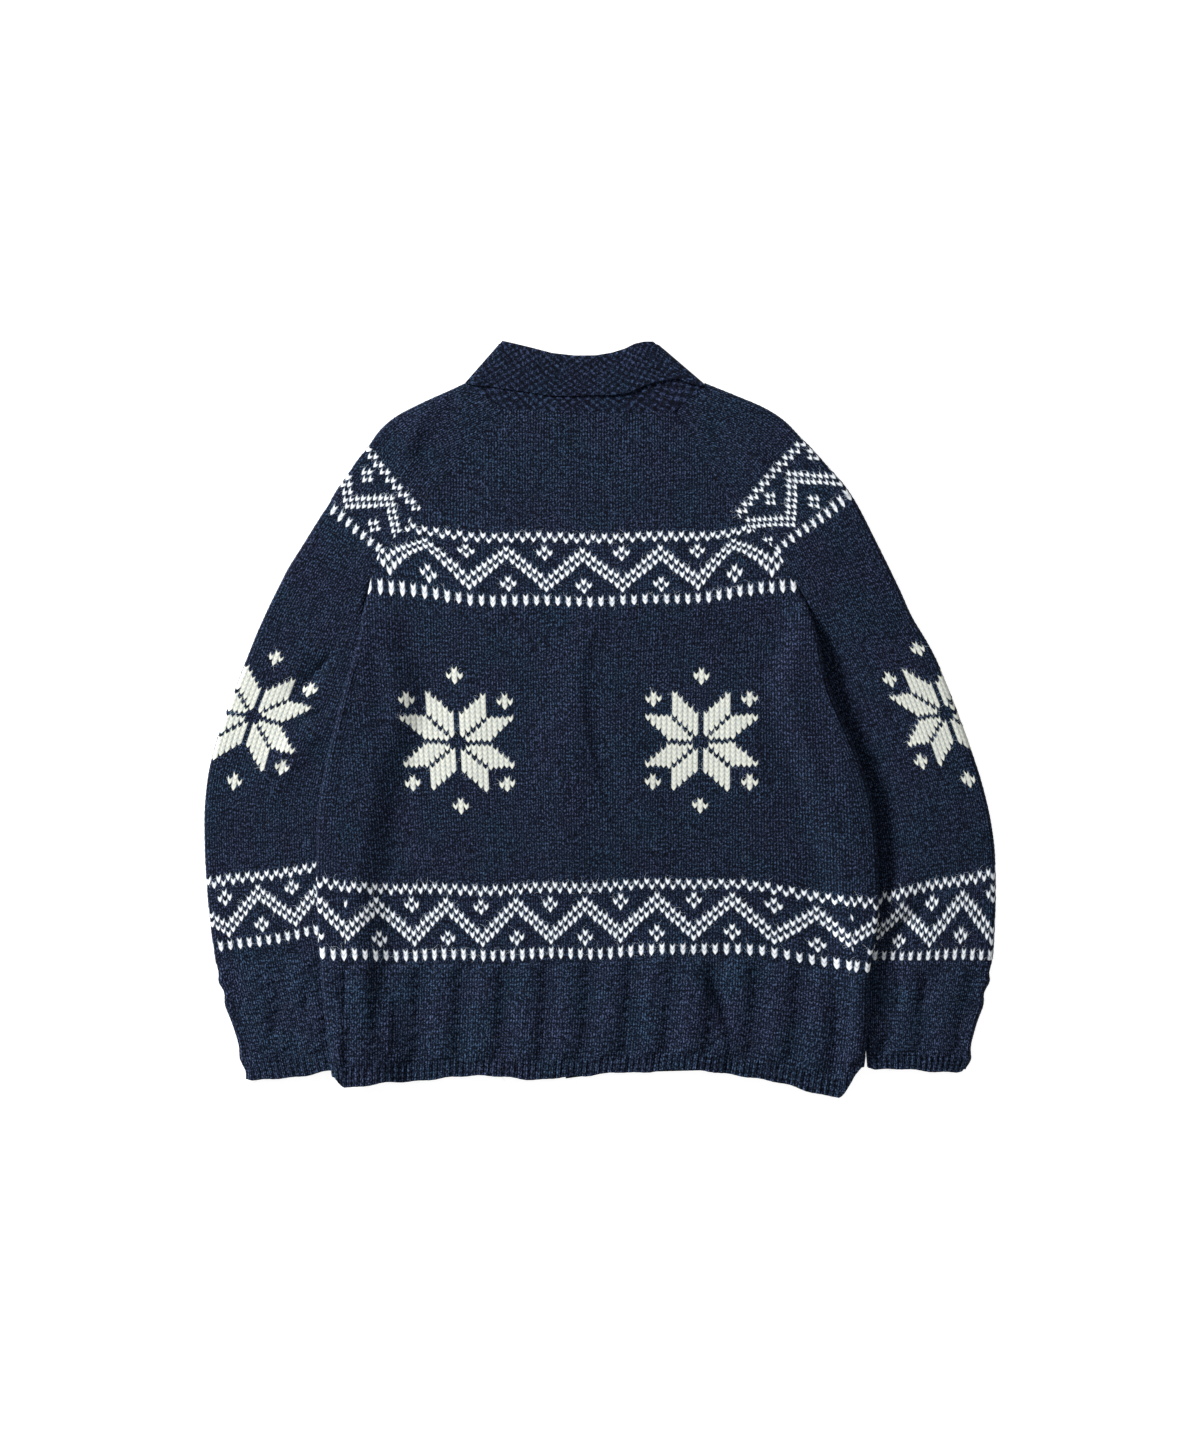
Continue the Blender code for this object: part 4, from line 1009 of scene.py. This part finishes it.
class CARDIGAN_OT_back(bpy.types.Operator):
    """Knit the back with its two bands and its stars"""

    bl_idname = "cardigan.back"
    bl_label = "Back"

    def execute(self, context):
        c, r, dipped = knit_grid((-50, 50), (-31, 91))
        dipped = dipped - armpit_pull(c, r) + unevenness(c, r, 0.6)
        u = np.clip(rows_of_body(dipped), WELT_TOP, 2.0)
        base, clear = back_face(body_columns(c, dipped), u)
        relief = stitch_relief(c, r, sizes().stitch_height / MM)
        relief = relief * beside_seam(u, WELT_TOP, BODY_LENGTH)
        yarn = yarn_of(c, r, (0, LOW_BAND_ROW), BACK_STARS)
        knit_piece("back", base, clear, c, r, relief, yarn)
        return {"FINISHED"}


class CARDIGAN_OT_back_welt(bpy.types.Operator):
    """Knit the cabled welt of the back"""

    bl_idname = "cardigan.back_welt"
    bl_label = "Back welt"

    def execute(self, context):
        c, r, dipped = knit_grid((0, WELT_STITCHES - 1), (89, 115), 3)
        share = np.clip((c + 0.5) / WELT_STITCHES, 0, 1)
        u = np.clip(rows_of_body(dipped), 0, WELT_TOP)
        row = body_rows(u)
        s = row["seam_l"] + (row["seam_r"] - row["seam_l"]) * share
        base, clear = back_face(s, u)
        relief = cabled(c, r, share * BACK_CABLES * CABLE_PITCH, up_the_welt(u))
        relief = relief * beside_seam(u, WELT_TOP, BODY_LENGTH)
        knit_piece("back_welt", base, clear, c, r, relief, yarn_of(c, r), ("bottom",))
        return {"FINISHED"}


class CARDIGAN_OT_fronts(bpy.types.Operator):
    """Knit the two fronts, which wrap round the sides and lie underneath"""

    bl_idname = "cardigan.fronts"
    bl_label = "Fronts"

    def execute(self, context):
        for side, name, columns in ((-1, "left_front", (-51, 7)), (1, "right_front", (-56, 8))):
            c, r, dipped = knit_grid(columns, (-31, 91), 1)
            dipped = dipped + unevenness(c, r, 4.0 + side)
            u = np.clip(rows_of_body(dipped), WELT_TOP, 2.0)
            base, clear = front_face(side, c * FRONT_STITCH - 1.0, u)
            relief = stitch_relief(c, r, sizes().stitch_height / MM)
            relief = relief * beside_seam(u, WELT_TOP, BODY_LENGTH)
            yarn = yarn_of(c, r, (0, LOW_BAND_ROW))
            knit_piece(name, base, clear, c, r, relief, yarn, ("top",), side > 0)
        return {"FINISHED"}


class CARDIGAN_OT_front_welts(bpy.types.Operator):
    """Knit the welts of the two fronts"""

    bl_idname = "cardigan.front_welts"
    bl_label = "Front welts"

    def execute(self, context):
        for side, name in ((-1, "left_front_welt"), (1, "right_front_welt")):
            c, r, dipped = knit_grid((-52, 6), (89, 115), 2)
            u = np.clip(rows_of_body(dipped), 0, WELT_TOP)
            reach = c * WELT_STITCH_WIDTH
            base, clear = front_face(side, reach, u)
            relief = cabled(c, r, 24.0 - reach, up_the_welt(u), ease((reach - 2) / 4))
            relief = relief * beside_seam(u, WELT_TOP, BODY_LENGTH)
            knit_piece(name, base, clear, c, r, relief, yarn_of(c, r), ("bottom",), side > 0)
        return {"FINISHED"}


class CARDIGAN_OT_sleeves(bpy.types.Operator):
    """Knit the two raglan sleeves"""

    bl_idname = "cardigan.sleeves"
    bl_label = "Sleeves"

    def execute(self, context):
        for side, name, first_peak, pitch, star_row in (
            (-1, "left_sleeve", 48.0, 4.5, 58), (1, "right_sleeve", 32.0, 4.1, 56),
        ):
            reach = int(150 / pitch) + 1
            offset = round(first_peak / pitch)
            c, r, dipped = knit_grid((-reach - offset, reach - offset), (-32, 113))
            dipped = dipped + unevenness(c, r, 2.0 + side)
            v = np.clip(rows_of_arm(side, dipped), 0, CUFF_TOP)
            base, clear = arm_face(side, c * pitch + first_peak, v)
            relief = stitch_relief(c, r, sizes().stitch_height / MM)
            relief = relief * beside_seam(v, CUFF_TOP, ARM_LENGTH)
            yarn = yarn_of(c, r, (0, SLEEVE_LOW_ROW), ((-5, star_row),))
            knit_piece(name, base, clear, c, r, relief, yarn, ("top",), side > 0)
        return {"FINISHED"}


class CARDIGAN_OT_cuffs(bpy.types.Operator):
    """Knit the two cabled cuffs"""

    bl_idname = "cardigan.cuffs"
    bl_label = "Cuffs"

    def execute(self, context):
        for side, name in ((-1, "left_cuff"), (1, "right_cuff")):
            c, r, dipped = knit_grid((-CUFF_REACH, CUFF_REACH), (-1, CUFF_ROWS), 3)
            v = CUFF_TOP + np.clip((dipped + 0.5) / CUFF_ROWS, 0, 1) * (2 - CUFF_TOP)
            outer, top, _, _ = arm_ends(side, v)
            width = np.linalg.norm(outer - top, axis=-1) + 4
            far = c / (CUFF_REACH + 0.5) * width
            base, clear = arm_face(side, far, v)
            across = (width - far) / width * 3 * CABLE_PITCH + 0.15 * CABLE_PITCH
            down = CUFF_CABLE_LENGTH - (v - CUFF_TOP) * 4.5 * CUFF_LENGTH
            upper = ease((far - 2) / 5) * ease((r + 0.5) / 3)
            relief = cabled(c, r, across, down, upper, CUFF_CABLE_SHARE)
            relief = relief * beside_seam(v, CUFF_TOP, ARM_LENGTH)
            knit_piece(name, base, clear, c, r, relief, yarn_of(c, r), ("bottom",), side > 0)
        return {"FINISHED"}


class CARDIGAN_OT_front_bands(bpy.types.Operator):
    """Knit the two straight bands along the front edges, which lie on each other underneath"""

    bl_idname = "cardigan.front_bands"
    bl_label = "Front bands"

    def execute(self, context):
        for name, hem, level in (
            ("left_front_band", LEFT_BAND_HEM, 0.0), ("right_front_band", RIGHT_BAND_HEM, LAP),
        ):
            c, r, _ = knit_grid((0, BAND_STITCHES - 1), (0, BAND_ROWS - 1))
            share, fall = (c + 0.5) / BAND_STITCHES, (r + 0.5) / BAND_ROWS
            x = BAND_RIGHT + (BAND_LEFT - BAND_RIGHT) * share
            end = hem[1] + (hem[0] - hem[1]) * share
            y = BAND_TOP + (end - BAND_TOP) * fall
            base = np.stack([x, y, np.full(x.shape, level)], -1)
            relief = moss_relief(c, r) * 0.3 - 0.3
            clear = np.full(c.shape, 10.0)
            knit_piece(name, base, clear, c, r, relief, yarn_of(c, r), ("bottom",))
        return {"FINISHED"}


def neckline_front(side, f):
    table = RAGLAN_LEFT if side < 0 else RAGLAN_RIGHT
    top = table[-1]
    ys = [top.front_y, YOKE[-1].front_mid, YOKE[-1].front_centre]
    x = front_edge(side) + (top.front_x - front_edge(side)) * f
    return x, float(along(ys, np.array(1 - f)))


def roll_row(table, t):
    return tuple(float(column(table, name, np.array(t))) for name in ("x", "y", "fall"))


def middle_of(a, b):
    return (a[0] + b[0]) / 2, (a[1] + b[1]) / 2


def collar_side(side):
    """Stations (seam x, seam y, roll x, roll y, fall, over) of one front half."""
    table = ROLL_FRONT_LEFT if side < 0 else ROLL_FRONT_RIGHT
    top = (RAGLAN_LEFT if side < 0 else RAGLAN_RIGHT)[-1]
    seams = [(table[0].x, BAND_TOP)]
    seams += [neckline_front(side, i / 4) for i in range(5)]
    seams.append(middle_of((top.front_x, top.front_y), (top.outer_x, top.outer_y)))
    stations = []
    for i, seam in enumerate(seams):
        x, y, fall = roll_row(table, i / (len(seams) - 1))
        stations.append((*seam, x, y, fall, 0.0))
    seam, roll = NECK_FOLD_LEFT if side < 0 else NECK_FOLD_RIGHT
    return stations + [(*seam, *roll, table[-1].fall, over) for over in (0.25, 0.5, 0.75)]


def collar_stations():
    left, right, yoke = RAGLAN_LEFT[-1], RAGLAN_RIGHT[-1], YOKE[-1]
    ys = [left.back_y, yoke.y1, yoke.y2, yoke.y3, right.back_y]
    seams = [middle_of((left.outer_x, left.outer_y), (left.back_x, left.back_y))]
    for i in range(9):
        x = left.back_x + (right.back_x - left.back_x) * i / 8
        seams.append((x, float(along(ys, np.array(i / 8)))))
    seams.append(middle_of((right.back_x, right.back_y), (right.outer_x, right.outer_y)))
    back = []
    for i, seam in enumerate(seams):
        x, y, fall = roll_row(ROLL_BACK, i / (len(seams) - 1))
        back.append((*seam, x, y, fall, 1.0))
    return np.array(collar_side(-1) + back + collar_side(1)[::-1])


def collar_points(station, depth, drop, turn):
    """Middle surface of the collar at stations and at shares of its stand, fall and roll."""
    seam, roll = station[..., 0:2], station[..., 2:4]
    fall, over = station[..., 4], station[..., 5]
    zero = np.zeros_like(seam[..., :1])
    seam, roll = np.concatenate([seam, zero], -1), np.concatenate([roll, zero], -1)
    up = (roll - seam) / np.linalg.norm(roll - seam, axis=-1, keepdims=True)
    side = np.where(seam[..., 0] < 0, 1.0, -1.0) * ((over > 0) & (over < 1))
    outward = np.stack([-up[..., 1] * side, up[..., 0] * side, zero[..., 0]], -1)
    normal = outward * np.sin(math.pi * over)[..., None]
    normal[..., 2] -= np.cos(math.pi * over)
    climb = LAP * ease(depth / COLLAR_CLIMB)
    high, low = TOP + CLOTH / 2, CLOTH / 2 + climb
    radius = (high - low) / 2
    reach = (radius + CLOTH / 2 + climb) * np.clip(np.minimum(over, 1 - over) * 4, 0, 1)
    start = seam - up * (NECK_TUCK * np.sin(math.pi * over))[..., None]
    point = start + (roll - start) * depth[..., None] - outward * reach[..., None]
    point[..., 2] += (high + low) / 2
    point += normal * radius[..., None]
    point += up * (LAP / 2 * np.sin(math.pi * turn))[..., None]
    point += normal * (LAP / 2 * (1 - np.cos(math.pi * turn)))[..., None]
    return point - up * (fall * drop)[..., None]


class CARDIGAN_OT_collar(bpy.types.Operator):
    """Knit the stand-and-fall collar in moss stitch"""

    bl_idname = "cardigan.collar"
    bl_label = "Collar"

    def execute(self, context):
        stations = collar_stations()
        step = np.linalg.norm(np.diff(stations[:, 2:4], axis=0), axis=1)
        step += np.linalg.norm(np.diff(stations[:, 0:2], axis=0), axis=1)
        step += 12 * np.abs(np.diff(stations[:, 5]))
        walked = np.append(0, np.cumsum(step)) / step.sum()
        c = knit_lines(0, COLLAR_STITCHES - 1, 2)
        c, r = np.meshgrid(c, knit_lines(0, COLLAR_ROWS - 1, 2))
        share = (c + 0.5) / COLLAR_STITCHES
        station = np.stack([np.interp(share, walked, stations[:, k]) for k in range(6)], -1)
        row = r + 0.5
        depth = np.clip(row / STAND_ROWS, 0, 1)
        turn = np.clip((row - STAND_ROWS) / ROLL_ROWS, 0, 1)
        fall_rows = COLLAR_ROWS - STAND_ROWS - ROLL_ROWS
        drop = np.clip((row - STAND_ROWS - ROLL_ROWS) / fall_rows, 0, 1)
        base = collar_points(station, depth, drop, turn)
        pressed = PRESSED * drop**3 * ease((PRESSED_FROM - base[..., 0]) / 20)
        base[..., 2] -= pressed * (station[..., 5] > 0.9)
        base, c, r = (np.flip(grid, 0).copy() for grid in (base, c, r))
        normals = grid_normals(base)
        grip = np.random.default_rng(7).uniform(0.2, 1.6, (30, COLLAR_STITCHES + 1))
        grip = grip[np.round(r).astype(int), np.round(c).astype(int)]
        moss = moss_relief(c, r) * 0.5 * grip
        outer = base + normals * (CLOTH / 2 - 0.1 + moss)[..., None]
        inner = base - normals * (CLOTH / 2 - 0.3)
        outer[..., 2], inner[..., 2] = np.maximum(outer[..., 2], 0), np.maximum(inner[..., 2], 0)
        yarn = yarn_of(c, r)
        sheet = SHEETS["collar"]
        obj = double_shell("collar", outer, inner, c, r, yarn, wool(sheet.wool))
        SURFACES["collar"] = (outer, normals, yarn)
        hand_over(obj)
        return {"FINISHED"}


def double_shell(name, outer, inner, c, r, yarn, finish):
    """A closed cloth from its two faces, joined all round."""
    shape = outer.shape[:2]
    count = shape[0] * shape[1]
    index = np.arange(count).reshape(shape)
    rim = np.concatenate([index[:, 0], index[-1, 1:], index[-2::-1, -1], index[0, -2:0:-1]])
    after = np.roll(rim, -1)
    edge = np.stack([rim, rim + count, after + count, after], -1)[:, ::-1]
    faces = np.concatenate([quads(shape), quads(shape)[:, ::-1] + count, edge])
    points = np.concatenate([outer.reshape(-1, 3), inner.reshape(-1, 3)])
    rows, columns = np.indices(shape)
    u, v = columns / columns.max(), rows / rows.max()
    bake = [np.stack([0.005 + 0.485 * u + half, 0.005 + 0.99 * v], -1) for half in (0, 0.505)]
    stitch = np.stack([c, r], -1)
    uvs = {
        "stitch": np.concatenate([stitch.reshape(-1, 2)] * 2),
        "OFBake": np.concatenate([part.reshape(-1, 2) for part in bake]),
    }
    faces_yarn = np.concatenate([yarn.ravel(), yarn.ravel(), np.zeros(len(edge))])
    return mesh_of(name + KNIT, points, faces, uvs, faces_yarn, finish)


def hair_finish(colour):
    """Single wool hairs, undyed or dyed with the yarn: dull, pale on the white yarn and nearly lost
    on the navy."""
    finish, tree, shader, where = new_finish("loose_wool_fibre")
    add = partial(add_node, tree)
    patches = add("TexNoise", {"Vector": where, "Scale": 1 / (HAIR_PATCH * MM)})
    yarn = add("Attribute", output="Fac", attribute_name="yarn")
    shade = add("Math", [patches, 0.5, yarn], operation="MULTIPLY_ADD")
    dark, dull = ([share * part for part in colour] for share in (0.06, 0.22))
    tone = add("ValToRGB", [shade], stops=((0.15, dark), (0.5, dull), (1.0, colour)))
    set_inputs(tree, shader, {"Base Color": tone, "Roughness": 0.8, "IOR": WOOL_IOR})
    return finish


def hair_sites(chance):
    """Roots of the hairs, the way up from them and whether they stand on pale yarn."""
    found = []
    for points, normals, yarn in SURFACES.values():
        rows, columns = yarn.shape
        across, down = points[1:, 1:] - points[:-1, 1:], points[1:, 1:] - points[1:, :-1]
        spread = np.linalg.norm(np.cross(across, down), axis=-1)
        weight = np.where(yarn > 0, PALE_HAIRS, 1.0)
        weight = np.where(spread > HAIR_CELL, weight, 0.0).ravel()
        number = int(sizes().fibre_count * weight.sum() / HAIR_WEIGHT)
        site = chance.choice(rows * columns, number, p=weight / weight.sum())
        i, j = site // columns, site % columns
        found.append((points[i, j], normals[i, j], yarn[i, j] > 0))
    return [np.concatenate(part) for part in zip(*found)]


class CARDIGAN_OT_loose_fibres(bpy.types.Operator):
    """Lay the loose pale hairs on the wool"""

    bl_idname = "cardigan.loose_fibres"
    bl_label = "Loose fibres"

    def execute(self, context):
        chance = np.random.default_rng(11)
        start, up, on_pale = hair_sites(chance)
        number = len(start)
        any_way = chance.normal(size=(number, 3))
        way = any_way - up * np.sum(any_way * up, -1, keepdims=True)
        way /= np.linalg.norm(way, axis=-1, keepdims=True)
        sideways = np.cross(up, way)
        length_of = chance.uniform(*HAIR_LENGTHS, number)
        bend = chance.normal(0, HAIR_BEND, number)
        height = chance.uniform(*HAIR_HEIGHTS, number)
        width = sizes().fibre_width / MM / 2
        verts = []
        position, heading = start + up * 0.2, np.zeros(number)
        for k in range(HAIR_PARTS + 1):
            towards = way * np.cos(heading)[:, None] + sideways * np.sin(heading)[:, None]
            across = np.cross(up, towards)
            arch = up * (height * math.sin(math.pi * k / HAIR_PARTS))[:, None]
            verts += [position + arch - across * width, position + arch + across * width]
            position = position + towards * (length_of / HAIR_PARTS)[:, None]
            heading = heading + bend + chance.normal(0, HAIR_BEND, number)
        points = np.stack(verts, 1)
        points[..., 2] = np.maximum(points[..., 2], 0.1)
        corners = 2 * (HAIR_PARTS + 1)
        index = np.arange(number)[:, None] * corners
        part = np.array([0, 1, 3, 2])
        faces = np.concatenate([index + 2 * k + part for k in range(HAIR_PARTS)])
        # Each hair has its own cell of the OFBake map.
        cells = math.ceil(math.sqrt(number))
        cell = np.stack([np.arange(number) % cells, np.arange(number) // cells], -1)
        spot = np.array([[k % 2 * 0.6 + 0.2, k // 2 / (HAIR_PARTS + 1)] for k in range(corners)])
        uvs = {"OFBake": (cell[:, None, :] + spot[None] * 0.8 + 0.1) / cells}
        finish = hair_finish(list(context.scene.cardigan_colours.fibre))
        yarn = np.tile(on_pale.astype(float), HAIR_PARTS)
        obj = mesh_of("loose_fibres", points, faces, uvs, yarn, finish)
        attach(obj, BODY_NAME)
        return {"FINISHED"}


class CARDIGAN_OT_stage(bpy.types.Operator):
    """Set the pale floor, the soft lights and the camera straight above"""

    bl_idname = "cardigan.stage"
    bl_label = "Stage"

    def execute(self, context):
        scene = context.scene
        bm = bmesh.new()
        bmesh.ops.create_grid(bm, x_segments=2, y_segments=2, size=6.0)
        mesh = bpy.data.meshes.new("floor")
        bm.to_mesh(mesh)
        bm.free()
        floor = bpy.data.objects.new("floor", mesh)
        floor.location.z = -0.0004
        scene.collection.objects.link(floor)
        # A matt acrylic sheet lit from below, as product tables have, which takes shadows away.
        sheet = bpy.data.materials.new("backlit_matt_acrylic")
        sheet.use_nodes = True
        set_inputs(sheet.node_tree, sheet.node_tree.nodes["Principled BSDF"], {
            "Base Color": (*scene.cardigan_colours.floor, 1),
            "Emission Color": (1, 1, 1, 1),
            "Emission Strength": 0.88,
            "Roughness": 0.95,
            "Specular IOR Level": 0.0,
        })
        mesh.materials.append(sheet)
        world = bpy.data.worlds.new("studio")
        world.use_nodes = True
        sky = {"Color": (1, 1, 1, 1), "Strength": 0.30}
        set_inputs(world.node_tree, world.node_tree.nodes["Background"], sky)
        scene.world = world
        for name, place_at, power, size in (
            ("softbox", (-2.75, 2.0, 2.0), 250.0, 1.0),
            ("fill", (1.2, -0.9, 2.8), 4.0, 1.6),
        ):
            lamp = bpy.data.lights.new(name, "AREA")
            lamp.energy = power
            lamp.size = size
            light = bpy.data.objects.new(name, lamp)
            light.location = place_at
            aim = -np.array(place_at)
            yaw, tilt = math.atan2(-aim[0], aim[1]), math.acos(-aim[2] / np.linalg.norm(aim))
            light.rotation_euler = (tilt, 0.0, yaw)
            scene.collection.objects.link(light)
        lens = bpy.data.cameras.new("camera")
        lens.lens = 100.0
        lens.sensor_width = 36.0
        lens.clip_end = 50.0
        camera = bpy.data.objects.new("camera", lens)
        camera.location = CAMERA_AT
        scene.collection.objects.link(camera)
        scene.camera = camera
        scene.view_settings.view_transform = "Standard"
        return {"FINISHED"}


OPERATORS = (
    CARDIGAN_OT_stage,
    CARDIGAN_OT_sleeves,
    CARDIGAN_OT_cuffs,
    CARDIGAN_OT_front_bands,
    CARDIGAN_OT_fronts,
    CARDIGAN_OT_front_welts,
    CARDIGAN_OT_back,
    CARDIGAN_OT_back_welt,
    CARDIGAN_OT_collar,
    CARDIGAN_OT_loose_fibres,
)


class CARDIGAN_PT_pieces(bpy.types.Panel):
    """Settings and pieces of the cardigan"""

    bl_idname = "CARDIGAN_PT_pieces"
    bl_label = "Nordic cardigan"
    bl_space_type = "VIEW_3D"
    bl_region_type = "UI"
    bl_category = "Cardigan"

    def draw(self, context):
        for group in (context.scene.cardigan_sizes, context.scene.cardigan_colours):
            box = self.layout.box()
            for name in group.__annotations__:
                box.prop(group, name)
        for operator in OPERATORS:
            self.layout.operator(operator.bl_idname)


CLASSES = (CardiganSizes, CardiganColours, *OPERATORS, CARDIGAN_PT_pieces)


def register():
    for cls in CLASSES:
        bpy.utils.register_class(cls)
    bpy.types.Scene.cardigan_sizes = bpy.props.PointerProperty(type=CardiganSizes)
    bpy.types.Scene.cardigan_colours = bpy.props.PointerProperty(type=CardiganColours)


def unregister():
    del bpy.types.Scene.cardigan_colours
    del bpy.types.Scene.cardigan_sizes
    for cls in reversed(CLASSES):
        bpy.utils.unregister_class(cls)


def main():
    register()
    for operator in OPERATORS:
        group, name = operator.bl_idname.split(".")
        getattr(getattr(bpy.ops, group), name)()
    bpy.context.view_layer.update()


if __name__ == "__main__":
    main()
